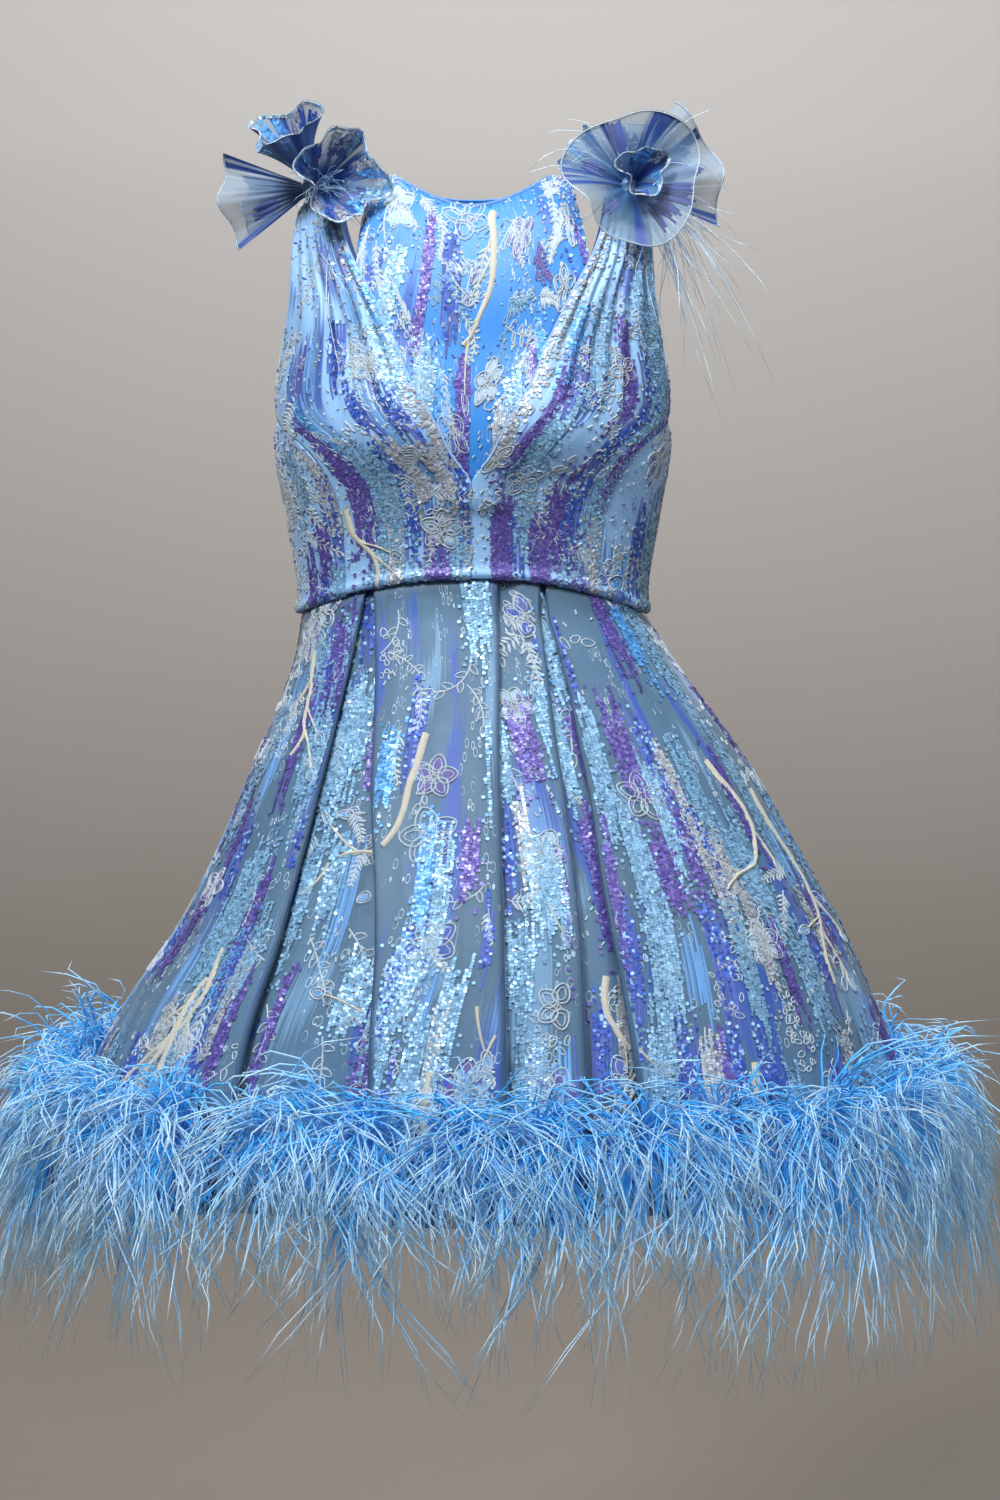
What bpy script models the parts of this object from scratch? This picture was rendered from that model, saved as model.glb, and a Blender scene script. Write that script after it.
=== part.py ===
"""A feather-hemmed mini dress in its worn, hollow form, standing on nothing and held at the shoulders.

Units are metres, +Z is up and the front of the dress faces -Y. The origin lies between the two shoulders,
on the line where the shoulder straps rest. Heights are therefore negative below the shoulders.
"""

import math

import bmesh
import bpy
from mathutils import Vector

# Driving dimensions
SEAM = 0.0003            # gap between two pieces that are sewn edge to edge
BODICE_WALL = 0.0020     # satin, backing and embroidery together
SKIRT_WALL = 0.0016
LINING_WALL = 0.0012
ORGANZA_WALL = 0.0012
HEM_Z = -0.761
LINING_HEM_Z = -0.748
WAIST_SIDE_Z = -0.320    # the bodice's lower edge at the side seams
WAIST_ARCH = 0.027       # how much higher that edge is at the centre front
WAIST_ROLL = 0.0022      # how far the rolled edge stands proud of the bodice
TUCK = 0.008             # how far the skirt runs up inside the bodice
TUCK_CLEAR = 0.0019      # from the bodice's inside to the middle of the skirt's cloth there
TUCKED_ROWS = (-TUCK, 0.0015)    # the skirt's rows that follow the bodice, measured down from its lower edge
NECK_R = 0.062
CHEST_Z = -0.110         # above this height the body rounds over to the shoulders
SHOULDER_ARC = 0.182     # from the chest line up over the front to the shoulder's ridge
V_POINT_Z = -0.219
UNDERARM_DIP = 0.009     # how far the armhole drops below its ends at the side seam
ROUNDNESS = 2.3          # exponent of the torso's cross-section, 2 is an ellipse

# The body under the bodice: half width, depth in front and depth behind at each height
TORSO = (
    # height, half_width, front, back
    (-0.330, 0.1370, 0.0900, 0.0840),
    (-0.293, 0.1375, 0.0920, 0.0840),
    (-0.260, 0.1430, 0.0960, 0.0860),
    (-0.231, 0.1480, 0.1020, 0.0900),
    (-0.200, 0.1535, 0.1070, 0.0940),
    (-0.172, 0.1550, 0.1080, 0.0970),
    (-0.146, 0.1550, 0.1050, 0.0990),
    (-0.110, 0.1530, 0.1000, 0.1000),
)
# Height of the shoulder's ridge at each distance from the centre
CROWN = (
    # across, height
    (0.000, 0.021),
    (0.062, 0.021),
    (0.080, 0.015),
    (0.100, 0.008),
    (0.125, 0.000),
    (0.140, -0.007),
    (0.155, -0.016),
)
BUST = {"across": 0.066, "height": -0.180, "rise": 0.015, "width": 0.040, "above": 0.050, "below": 0.032}

# The front cup panel, from the waist up over the bust to the shoulder
CUP_ROWS = (
    # height, inner, outer
    (-0.275, 0.0000, 0.0970),
    (-0.250, 0.0000, 0.0990),
    (-0.231, 0.0000, 0.1040),
    (-0.219, 0.0000, 0.1090),
    (-0.200, 0.0150, 0.1210),
    (-0.186, 0.0230, 0.1350),
    (-0.172, 0.0310, 0.1500),
    (-0.146, 0.0460, 0.1520),
    (-0.115, 0.0570, 0.1460),
    (-0.081, 0.0740, 0.1390),
    (-0.050, 0.0900, 0.1370),
)
PRINCESS_AT_WAIST = 0.098
ARMHOLE_ROW = 6          # the row of CUP_ROWS where the side panel ends
# Its last rows, where it rounds over the shoulder: degrees from the chest to the ridge
CUP_TOP_ROWS = (
    # degrees, inner, outer
    (50.0, 0.1000, 0.1360),
    (70.0, 0.1030, 0.1340),
    (89.88, 0.1040, 0.1330),
)
CUP_COLUMNS = 13
SIDE_COLUMNS = 7
GATHERS = 3              # folds that run down from the shoulder knot
GATHER_DEPTH = 0.0030

# The back panel above the underarm, mirrored to both sides
BACK_ROWS = (
    # height, inner, outer
    (-0.162, 0.0000, 0.1510),
    (-0.145, 0.0120, 0.1435),
    (-0.115, 0.0420, 0.1370),
    (-0.081, 0.0680, 0.1330),
    (-0.050, 0.0880, 0.1320),
)
BACK_TOP_ROWS = (
    # degrees, inner, outer
    (50.0, 0.0990, 0.1320),
    (70.0, 0.1030, 0.1330),
    (89.88, 0.1040, 0.1330),
)
BACK_COLUMNS = 10

# The outer edge of the high-necked inset: "up" is measured over the body from the chest line
YOKE_EDGE = (
    # up, half_width
    (-0.120, 0.0000),
    (-0.109, 0.0120),
    (-0.089, 0.0280),
    (-0.062, 0.0440),
    (-0.036, 0.0590),
    (-0.005, 0.0710),
    (0.023, 0.0860),
    (0.050, 0.0880),
    (0.080, 0.0860),
    (0.115, 0.0810),
    (0.150, 0.0760),
    (0.1818, 0.0735),
)
YOKE_COLUMNS = 19
YOKE_ROWS = 6
YOKE_SPREAD = {"neck": 1.25, "edge": 0.85}    # exponents that space its columns along the neck and the outer edge
YOKE_UNDERLAP = 0.012
YOKE_CLEAR = 0.0017      # between the yoke and the cup panel that lies on it
BAND_HEIGHTS = (0.021, 0.012)    # the neck band's upper edge, at the shoulder and at the nape
BAND_SLOPE = (0.0035, 0.0085)    # how much lower its outer edge lies, at the same places
BAND_COLUMNS = 13

# The skirt's outline, without its pleats
SKIRT = (
    # height, left, right, front, back
    (-0.293, 0.1360, 0.1360, 0.0915, 0.0830),
    (-0.322, 0.1362, 0.1370, 0.0960, 0.0845),
    (-0.335, 0.1375, 0.1450, 0.1000, 0.0900),
    (-0.359, 0.1420, 0.1600, 0.1080, 0.1000),
    (-0.391, 0.1540, 0.1840, 0.1190, 0.1150),
    (-0.439, 0.1750, 0.2180, 0.1370, 0.1360),
    (-0.503, 0.2010, 0.2550, 0.1620, 0.1630),
    (-0.567, 0.2330, 0.2910, 0.1870, 0.1880),
    (-0.631, 0.2770, 0.3200, 0.2080, 0.2100),
    (-0.695, 0.3100, 0.3440, 0.2240, 0.2260),
    (-0.761, 0.3450, 0.3730, 0.2400, 0.2420),
)
SKIRT_ROUNDNESS = 2.05
SKIRT_LEVELS = (0.03, 0.08, 0.16, 0.26, 0.38, 0.52, 0.67, 0.83, 1.0)

# The pleats' folds, in degrees from the centre front. An edge is the fold that lies on top.
FRONT_FOLDS = (
    # height, left_edge, left_crease, centre_crease, centre_edge, right_crease, right_edge
    (-0.285, 33.3, 31.0, -2.8, 5.9, 19.3, 21.6),
    (-0.367, 40.3, 28.2, -2.4, 5.4, 18.0, 23.8),
    (-0.447, 40.4, 24.4, -1.8, 4.7, 17.1, 23.2),
    (-0.530, 39.6, 18.6, -1.2, 4.2, 16.0, 21.8),
    (-0.625, 37.0, 15.0, -0.6, 3.8, 14.4, 21.9),
    (-0.761, 33.0, 12.5, 0.0, 3.6, 13.4, 22.6),
)
BACK_FOLDS = (
    # height, edge, crease
    (-0.285, 28.0, 25.4),
    (-0.447, 33.0, 22.0),
    (-0.761, 31.0, 13.0),
)
PLEAT_LAYER = (0.0030, 0.0085)   # from one layer of a pleat to the next, at the waist and the hem
PLEAT_TURN = (3.0, 4.6)          # how far a pleat runs back under its edge, in degrees
FOLD_ROUND = (0.62, 0.70)        # how far a fold's rounded tip reaches past its edge, in degrees
HEM_WAVE = 0.0055
HEM_WAVES = 9
LINING_DROP = (0.0115, 0.0300)   # the lining's distance inside the skirt, at the waist and the hem
LINING_COLUMNS = 44
# The lining's first rows, above the skirt's upper edge and inside the bodice
LINING_TOP = (
    # above, drop
    (0.010, -0.0004),
    (0.005, 0.0040),
    (-0.002, LINING_DROP[0]),
)
LINING_LEVELS = (0.08, 0.22, 0.42, 0.70, 1.0)

# Feather trim
TRIM_Z = -0.711
TRIM_H = 0.012
TRIM_WALL = 0.0020
TRIM_CLEAR = 0.0016      # at its middle, so that its straight runs clear the skirt's waves
TRIM_COLUMNS = 66
LOCKS = {
    # name: rise, reach, drop, half_width, half_thickness, sections
    "curl": (0.058, 0.050, -0.008, 0.0100, 0.0032, 3),
    "arch": (0.036, 0.056, 0.066, 0.0100, 0.0032, 3),
    "droop": (-0.014, 0.046, 0.120, 0.0095, 0.0026, 2),
    "long": (-0.014, 0.052, 0.152, 0.0095, 0.0026, 2),
}

# Shoulder bows. Directions from a knot are azimuths, from the front towards the arm, and elevations, in degrees.
KNOT_R = 0.0115
KNOT_ACROSS = 0.1159     # on the strap's middle gather, where its top rows cross it
KNOT_DEGREES = 70.0
KNOT_CLEAR = 0.0006
PETAL_START = 0.0118
FUNNELS = (
    # bow, name, azimuth, elevation, half_angle_at_knot, half_angle_at_rim, length, ruffles, ruffle_angle, columns
    ("left", "rosette", 8.0, 10.0, 38.0, 58.0, 0.062, 5, 6.0, 20),
    ("left", "roll", 14.0, 12.0, 16.0, 25.0, 0.046, 3, 4.0, 12),
    ("right", "cup", -26.0, 4.0, 24.0, 33.0, 0.064, 4, 3.0, 16),
    ("right", "side_cup", 34.0, 46.0, 18.0, 24.0, 0.066, 3, 2.5, 12),
)
FANS = (
    # bow, name, first azimuth and elevation, middle azimuth and elevation, last azimuth and elevation, length, ruffles
    ("left", "tail", (112.0, 60.0), (104.0, 16.0), (106.0, -20.0), 0.080, 2.0),
    ("left", "back_loop", (-128.0, 44.0), (178.0, 66.0), (140.0, 52.0), 0.064, 1.5),
    ("left", "neck_petal", (-96.0, 56.0), (-100.0, 38.0), (-96.0, 21.0), 0.060, 1.0),
    ("right", "tail", (94.0, 16.0), (92.0, -8.0), (94.0, -34.0), 0.078, 1.5),
    ("right", "under_tail", (118.0, 12.0), (116.0, -8.0), (118.0, -28.0), 0.070, 1.0),
)
FAN_COLUMNS = 9
PETAL_LEVELS = (0.0, 0.30, 0.65, 1.0)
FAN_RUFFLE = 5.0         # how far a fan sways either way at its rim, in degrees
TUFTS = (
    # bow, azimuth, elevation
    ("left", 92.0, -40.0),
    ("right", -12.0, -60.0),
)
STRANDS = (
    # bow, side of the bead it leaves, forwards, outwards, down
    ("left", "outer", 0.026, 0.062, 0.056),
    ("left", "front", 0.034, 0.050, 0.078),
    ("left", "lower", 0.000, 0.036, 0.074),
    ("right", "outer", 0.044, 0.024, 0.050),
    ("right", "front", 0.052, 0.002, 0.064),
    ("right", "inner", 0.056, -0.020, 0.050),
)
TUFT_BEAD = 0.0045


# Tables and materials

def smooth_table(rows, height):
    """The columns of a table at a height, on a smooth curve through its rows."""
    rows = sorted(rows)
    if height <= rows[0][0]:
        return rows[0][1:]
    if height >= rows[-1][0]:
        return rows[-1][1:]
    k = max(i for i in range(len(rows) - 1) if rows[i][0] <= height)
    before, low, high, after = rows[max(k - 1, 0)], rows[k], rows[k + 1], rows[min(k + 2, len(rows) - 1)]
    span = high[0] - low[0]
    t = (height - low[0]) / span
    values = []
    for c in range(1, len(low)):
        slope_low = (high[c] - before[c]) / (high[0] - before[0]) * span
        slope_high = (after[c] - low[c]) / (after[0] - low[0]) * span
        values.append(
            (2 * t**3 - 3 * t**2 + 1) * low[c] + (t**3 - 2 * t**2 + t) * slope_low
            + (3 * t**2 - 2 * t**3) * high[c] + (t**3 - t**2) * slope_high
        )
    return tuple(values)


def between(pair, share):
    return pair[0] + (pair[1] - pair[0]) * share


def ease(t):
    t = min(max(t, 0.0), 1.0)
    return t * t * (3 - 2 * t)


def material(name, colour, roughness, metallic=0.0):
    made = bpy.data.materials.new(name)
    made.use_nodes = True
    shader = made.node_tree.nodes["Principled BSDF"]
    shader.inputs["Base Color"].default_value = (*colour, 1.0)
    shader.inputs["Roughness"].default_value = roughness
    shader.inputs["Metallic"].default_value = metallic
    return made


for old in list(bpy.data.objects):
    bpy.data.objects.remove(old)

SATIN = material("satin", (0.22, 0.50, 0.86), 0.38)
EMBROIDERED = material("embroidered_satin", (0.34, 0.52, 0.78), 0.45)
ORGANZA = material("embroidered_organza", (0.30, 0.45, 0.66), 0.50)
LINING = material("lining", (0.18, 0.40, 0.66), 0.45)
BOW_ORGANZA = material("bow_organza", (0.42, 0.55, 0.76), 0.45)
FEATHER = material("feather", (0.30, 0.62, 0.90), 0.70)


# Closed walls

def solid(name, vertices, faces, finish):
    mesh = bpy.data.meshes.new(name)
    bm = bmesh.new()
    made = [bm.verts.new(v) for v in vertices]
    for face in faces:
        bm.faces.new([made[i] for i in face])
    bmesh.ops.recalc_face_normals(bm, faces=bm.faces[:])
    bm.to_mesh(mesh)
    bm.free()
    mesh.materials.append(finish)
    mesh.shade_smooth()
    mesh.set_sharp_from_angle(angle=math.radians(50))
    obj = bpy.data.objects.new(name, mesh)
    bpy.context.scene.collection.objects.link(obj)
    return obj


def wall(name, inner, outer, finish, ring=False):
    """A closed wall between two grids of points, as a panel or, with ring, as a tube open at both ends."""
    rows, columns = len(inner), len(inner[0])
    vertices = [p for grid in (inner, outer) for row in grid for p in row]
    layer = rows * columns

    def at(side, i, j):
        return side * layer + i * columns + j % columns

    faces = []
    across = columns if ring else columns - 1
    for i in range(rows - 1):
        for j in range(across):
            faces.append((at(0, i, j), at(0, i + 1, j), at(0, i + 1, j + 1), at(0, i, j + 1)))
            faces.append((at(1, i, j), at(1, i, j + 1), at(1, i + 1, j + 1), at(1, i + 1, j)))
    for j in range(across):
        faces.append((at(0, 0, j), at(0, 0, j + 1), at(1, 0, j + 1), at(1, 0, j)))
        faces.append((at(0, rows - 1, j), at(1, rows - 1, j), at(1, rows - 1, j + 1), at(0, rows - 1, j + 1)))
    if not ring:
        for i in range(rows - 1):
            for j in (0, columns - 1):
                faces.append((at(0, i, j), at(1, i, j), at(1, i + 1, j), at(0, i + 1, j)))
    return solid(name, vertices, faces, finish)


def grid_normals(grid, ring=False):
    """Unit normals of a grid of points, from its rows and columns."""
    rows, columns = len(grid), len(grid[0])
    normals = []
    for i in range(rows):
        line = []
        for j in range(columns):
            left = grid[i][(j - 1) % columns] if ring else grid[i][max(j - 1, 0)]
            right = grid[i][(j + 1) % columns] if ring else grid[i][min(j + 1, columns - 1)]
            down, up = grid[max(i - 1, 0)][j], grid[min(i + 1, rows - 1)][j]
            line.append((right - left).cross(up - down).normalized())
        normals.append(line)
    return normals


def moved(grid, normals, distance):
    return [[p + n * distance for p, n in zip(row, line)] for row, line in zip(grid, normals)]


# The body that the bodice is cut for

def crown(across):
    return smooth_table(CROWN, abs(across))[0]


def bust_rise(across, z):
    reach = BUST["above"] if z > BUST["height"] else BUST["below"]
    away = ((abs(across) - BUST["across"]) / BUST["width"]) ** 2 + ((z - BUST["height"]) / reach) ** 2
    return BUST["rise"] * math.exp(-away)


def torso_depth(across, z, facing):
    """How far the body reaches forwards (facing -1) or backwards (facing 1) at a place across it."""
    half_width, front, back = smooth_table(TORSO, min(z, CHEST_Z))
    depth = front if facing < 0 else back
    side = min(abs(across) / half_width, 1.0) ** ROUNDNESS
    reach = depth * (1 - side) ** (1 / ROUNDNESS)
    if facing < 0:
        reach += bust_rise(across, z) * min(1.0, 3 * (1 - side))
    if z > CHEST_Z:
        up = min((z - CHEST_Z) / (crown(across) - CHEST_Z), 1.0)
        reach *= math.sqrt(1 - up * up)
    return reach


def on_torso(across, z, facing):
    return Vector((across, facing * torso_depth(across, z, facing), z))


def over_shoulder(across, degrees, facing):
    """A point on the shoulder, from 0 degrees at chest height to 90 at the ridge."""
    z = CHEST_Z + (crown(across) - CHEST_Z) * math.sin(math.radians(degrees))
    return on_torso(across, z, facing)


def torso_normal(point, facing):
    """The body's outward direction, from how its depth changes across and up."""
    step = 0.0008
    x, z = point.x, point.z
    half_width = smooth_table(TORSO, min(z, CHEST_Z))[0]
    x = math.copysign(min(abs(x), half_width - 2.5 * step), x)
    if z > CHEST_Z:
        z = min(z, crown(x) - 1.5 * step)
    wide = (torso_depth(x + step, z, facing) - torso_depth(x - step, z, facing)) / (2 * step)
    tall = (torso_depth(x, z + step, facing) - torso_depth(x, z - step, facing)) / (2 * step)
    normal = Vector((-wide, facing, -tall)).normalized()
    if crown(point.x) - point.z < 0.0003:
        normal.y = 0.0
        normal.normalize()
    return normal


def waist_z(angle):
    """The bodice's lower edge, arched up at the centre front; angle is from the centre front."""
    return WAIST_SIDE_Z + WAIST_ARCH * max(math.cos(angle), 0.0) ** 2


def torso_angle(point, facing):
    half_width = smooth_table(TORSO, WAIST_SIDE_Z)[0]
    turn = math.asin(min(abs(point.x) / half_width, 1.0) ** (ROUNDNESS / 2))
    return turn if facing < 0 else math.pi - turn


def waist_roll(point, facing):
    """How much thicker the bodice is at its rolled lower edge."""
    above = point.z - waist_z(torso_angle(point, facing))
    return WAIST_ROLL * math.exp(-((above - 0.0035) / 0.0035) ** 2)


def v_edge(z):
    """The cup panel's inner edge at a height, which is the side of the V."""
    rows = [(row[0], row[1]) for row in CUP_ROWS if row[0] >= V_POINT_Z]
    return smooth_table(rows, z)[0]


def cup_lift(point):
    """How far the cup panel stands off the body, where it lies on the yoke."""
    full = BODICE_WALL + YOKE_CLEAR
    away = abs(point.x) - v_edge(max(point.z, V_POINT_Z)) - YOKE_UNDERLAP
    beside = 1 - ease((away - 0.005) / 0.016)
    below = 1 - ease((V_POINT_Z - 0.014 - point.z) / 0.014)
    return full * beside * below


def panel(name, rows, facing, finish, lift=None, seam_axes=None, mirror=1):
    """A bodice panel from rows of points on the body. seam_axes gives the axis that its first or last column faces."""
    inner, outer = [], []
    for row in rows:
        low, high = [], []
        for j, point in enumerate(row):
            normal = torso_normal(point, facing)
            side_of_row = "first" if j == 0 else "last" if j == len(row) - 1 else "middle"
            if seam_axes and side_of_row in seam_axes:
                normal[seam_axes[side_of_row]] = 0.0
                normal.normalize()
            stand = lift(point) if lift else 0.0
            for side, distance in ((low, stand), (high, stand + BODICE_WALL + waist_roll(point, facing))):
                place = point + normal * distance
                side.append(Vector((place.x * mirror, place.y, place.z)))
        inner.append(low)
        outer.append(high)
    return wall(name, inner, outer, finish)


def spread(first, last, count):
    return [first + (last - first) * k / (count - 1) for k in range(count)]


# Bodice panels

def waist_row(inner, outer, count, facing, above):
    """A row along the bodice's lower edge, or a little above it, whose height follows the arch."""
    row = []
    for across in spread(inner, outer, count):
        turn = torso_angle(Vector((across, 0, 0)), facing)
        row.append(on_torso(across, waist_z(turn) + above, facing))
    return row


EDGE_ROWS = (0.0, 0.0035, 0.0100)    # heights above the bodice's lower edge that shape its roll


def gather(share, z):
    """Soft folds that run down from the shoulder knot and fade out over the bust."""
    strength = ease((z + 0.190) / 0.110)
    return GATHER_DEPTH * strength * max(math.sin(2 * math.pi * GATHERS * share), 0.0)


def cup_rows():
    rows = [waist_row(SEAM / 2, PRINCESS_AT_WAIST, CUP_COLUMNS, -1, above) for above in EDGE_ROWS]
    for z, inner, outer in CUP_ROWS:
        rows.append([on_torso(x, z, -1) for x in spread(max(inner, SEAM / 2), outer, CUP_COLUMNS)])
    for degrees, inner, outer in CUP_TOP_ROWS:
        rows.append([over_shoulder(x, degrees, -1) for x in spread(inner, outer, CUP_COLUMNS)])
    for row in rows:
        for j, point in enumerate(row):
            row[j] = point + torso_normal(point, -1) * gather(j / (CUP_COLUMNS - 1), point.z)
    return rows


def side_row(z_of, first):
    """Points from a place across the front round to the side seam, evenly spread in angle."""
    row = []
    half_width = smooth_table(TORSO, z_of(0.0))[0]
    start = math.asin(min(first / half_width, 1.0) ** (ROUNDNESS / 2))
    for k in range(SIDE_COLUMNS):
        share = k / (SIDE_COLUMNS - 1)
        turn = start + (math.pi / 2 - start) * share
        z = z_of(share)
        half_width = smooth_table(TORSO, z)[0]
        across = first if k == 0 else half_width * math.sin(turn) ** (2 / ROUNDNESS)
        row.append(on_torso(across, z, -1) if share < 1 else Vector((half_width, -SEAM / 2, z)))
    return row


def side_front_rows():
    start = torso_angle(Vector((PRINCESS_AT_WAIST, 0, 0)), -1)

    def edge(share, above):
        return waist_z(start + (math.pi / 2 - start) * share) + above

    rows = [side_row(lambda share, above=above: edge(share, above), PRINCESS_AT_WAIST + SEAM) for above in EDGE_ROWS]
    for z, _, outer in CUP_ROWS[: ARMHOLE_ROW + 1]:
        dip = UNDERARM_DIP if z == CUP_ROWS[ARMHOLE_ROW][0] else 0.0
        rows.append(side_row(lambda share, z=z, dip=dip: z - dip * ease(share), outer + SEAM))
    return rows


def back_rows():
    """Rows of the back panel from the centre back to the side seam, then up to the shoulder."""
    rows = []
    heights = [WAIST_SIDE_Z + above for above in EDGE_ROWS] + [row[0] for row in CUP_ROWS[: ARMHOLE_ROW + 1]]
    for z in heights:
        dip = UNDERARM_DIP if z == CUP_ROWS[ARMHOLE_ROW][0] else 0.0
        row = []
        for k in range(BACK_COLUMNS):
            share = k / (BACK_COLUMNS - 1)
            height = z - dip * ease(share * 3 - 2)
            half_width = smooth_table(TORSO, height)[0]
            across = max(half_width * math.sin(math.pi / 2 * share) ** (2 / ROUNDNESS), SEAM / 2)
            row.append(on_torso(across, height, 1) if share < 1 else Vector((half_width, SEAM / 2, height)))
        rows.append(row)
    for z, inner, outer in BACK_ROWS:
        bunched = min((BACK_ROWS[-1][0] - z) / (BACK_ROWS[-1][0] - BACK_ROWS[0][0]), 1.0)
        row = []
        for share in spread(0.0, 1.0, BACK_COLUMNS):
            turned = math.sin(math.pi / 2 * share) ** (2 / ROUNDNESS)
            across = inner + (outer - inner) * between((share, turned), bunched)
            row.append(on_torso(max(across, SEAM / 2), z, 1))
        rows.append(row)
    for degrees, inner, outer in BACK_TOP_ROWS:
        rows.append([over_shoulder(x, degrees, 1) for x in spread(inner, outer, BACK_COLUMNS)])
    return rows


for side_name, mirror in (("right", -1), ("left", 1)):
    panel(f"front_cup_{side_name}", cup_rows(), -1, EMBROIDERED, cup_lift, None, mirror)
    panel(f"side_front_{side_name}", side_front_rows(), -1, EMBROIDERED, cup_lift, {"last": 1}, mirror)
    panel(f"back_{side_name}", back_rows(), 1, EMBROIDERED, None, None, mirror)


# High-necked inset and its neck band

def on_front(across, up):
    """A point on the body's front, measured up over it from the chest line."""
    if up <= 0:
        return on_torso(across, CHEST_Z + up, -1)
    return over_shoulder(across, min(up / SHOULDER_ARC * 90.0, 89.88), -1)


def neck_up(across):
    """Where the round neckline crosses the body at a place across it."""
    forward = math.sqrt(max(NECK_R**2 - across**2, 0.0))
    share = min(forward / torso_depth(across, CHEST_Z, -1), 1.0)
    return min(math.degrees(math.acos(share)), 89.88) / 90.0 * SHOULDER_ARC


def yoke():
    rows = []
    shoulder, point = YOKE_EDGE[-1][0], YOKE_EDGE[0][0]
    for i in range(YOKE_ROWS):
        share = i / (YOKE_ROWS - 1)
        row = []
        for j in range(YOKE_COLUMNS):
            turn = 2.0 * j / (YOKE_COLUMNS - 1) - 1.0
            side = math.copysign(1.0, turn)
            along = 1 - abs(turn)
            neck_across = NECK_R * math.sin(math.pi / 2 * (1 - along**YOKE_SPREAD["neck"]))
            up = shoulder + (point - shoulder) * along ** YOKE_SPREAD["edge"]
            outer_across = smooth_table(YOKE_EDGE, up)[0]
            across = neck_across + (outer_across - neck_across) * share
            height = neck_up(neck_across) + (up - neck_up(neck_across)) * share
            row.append(on_front(across * side, height))
        rows.append(row)
    normals = [[torso_normal(p, -1) for p in row] for row in rows]
    return wall("yoke_front", rows, moved(rows, normals, BODICE_WALL), SATIN)


def neck_band():
    """The band that carries on round the back of the neck from the yoke's two ends."""
    inner, outer = [], []
    widths = (NECK_R, YOKE_EDGE[-1][1])
    for rim, radius in enumerate(widths):
        low, high = [], []
        for k in range(BAND_COLUMNS):
            angle = math.pi * k / (BAND_COLUMNS - 1)
            share = math.sin(angle)
            z = between(BAND_HEIGHTS, share) - rim * between(BAND_SLOPE, share)
            y = max(radius * math.sin(angle), SEAM / 2)
            low.append(Vector((radius * math.cos(angle), y, z)))
            slope = between(BAND_SLOPE, share) / (widths[1] - widths[0])
            out = Vector((math.cos(angle) * slope, share * slope, 1.0)).normalized()
            if k in (0, BAND_COLUMNS - 1):
                out.y = 0.0
            high.append(low[-1] + out * BODICE_WALL)
        inner.append(low)
        outer.append(high)
    return wall("neck_band_back", inner, outer, SATIN)


yoke()
neck_band()


# Skirt

def skirt_share(z):
    return min(max((WAIST_SIDE_Z - z) / (WAIST_SIDE_Z - HEM_Z), 0.0), 1.0)


def outline(degrees, z, drop=0.0, tucked=False):
    """A point on the skirt's smooth outline, drop metres inside it. What is tucked follows the bodice's inside."""

    def plain(a):
        left, right, front, back = smooth_table(SKIRT, z)
        power = 2 / between((ROUNDNESS, SKIRT_ROUNDNESS), ease(skirt_share(z) / 0.25))
        if tucked:
            half_width, front, back = (size - TUCK_CLEAR for size in smooth_table(TORSO, z))
            left, right, power = half_width, half_width, 2 / ROUNDNESS
        sine, cosine = math.sin(math.radians(a)), math.cos(math.radians(a))
        x = (right if sine > 0 else left) * math.copysign(abs(sine) ** power, sine)
        y = -(front if cosine > 0 else back) * math.copysign(abs(cosine) ** power, cosine)
        wave = HEM_WAVE * skirt_share(z) ** 2 * math.sin(math.radians(a) * HEM_WAVES + 0.8)
        return Vector((x, y, 0)) * (1 + wave / 0.30)

    step = 0.35
    ahead, behind = plain(degrees + step), plain(degrees - step)
    inwards = Vector((-(ahead - behind).y, (ahead - behind).x, 0)).normalized()
    if abs(math.cos(math.radians(degrees))) < 1e-6:
        inwards = Vector((-math.sin(math.radians(degrees)), 0, 0))
    place = plain(degrees) + inwards * drop
    return Vector((place.x, place.y, z))


def inverted_pleat(edge, crease, turn, tip):
    """Angles and layers of a pleat from the top fold at edge, under it and out to the facing fold at crease."""
    way = 1 if edge > crease else -1
    return [
        (edge, 0), (edge - way * tip, 0.5), (edge, 1),
        (edge + way * turn, 1), (edge + way * (turn + tip), 1.5), (edge + way * turn, 2),
        (edge, 2), ((edge + crease) / 2, 2), (crease, 2),
        (crease - way * turn, 2), (crease - way * (turn + tip), 1.5), (crease - way * turn, 1),
        (crease, 1), (crease + way * tip, 0.5), (crease, 0),
    ]


def front_path(z):
    left_edge, left_crease, centre_crease, centre_edge, right_crease, right_edge = smooth_table(FRONT_FOLDS, z)
    turn, tip = between(PLEAT_TURN, skirt_share(z)), between(FOLD_ROUND, skirt_share(z))
    calm = right_crease - turn - 3 * tip
    path = [(a, 0) for a in spread(-90.0, -left_edge, 8)[:-1]]
    path += [(-a, layer) for a, layer in inverted_pleat(left_edge, left_crease, turn, tip)]
    path += [(a, 0) for a in spread(-left_crease, centre_edge, 5)[1:-1]]
    path += [
        (centre_edge, 0), (centre_edge + tip, 0.5), (centre_edge, 1),
        (centre_crease, 1), (centre_crease - tip, 1.5), (centre_crease, 2),
        (centre_edge, 2), ((centre_edge + calm) / 2, 1.1), (calm, 0),
    ]
    path += list(reversed(inverted_pleat(right_edge, right_crease, turn, tip)))
    path += [(a, 0) for a in spread(right_edge, 90.0, 9)[1:]]
    return path


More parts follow.
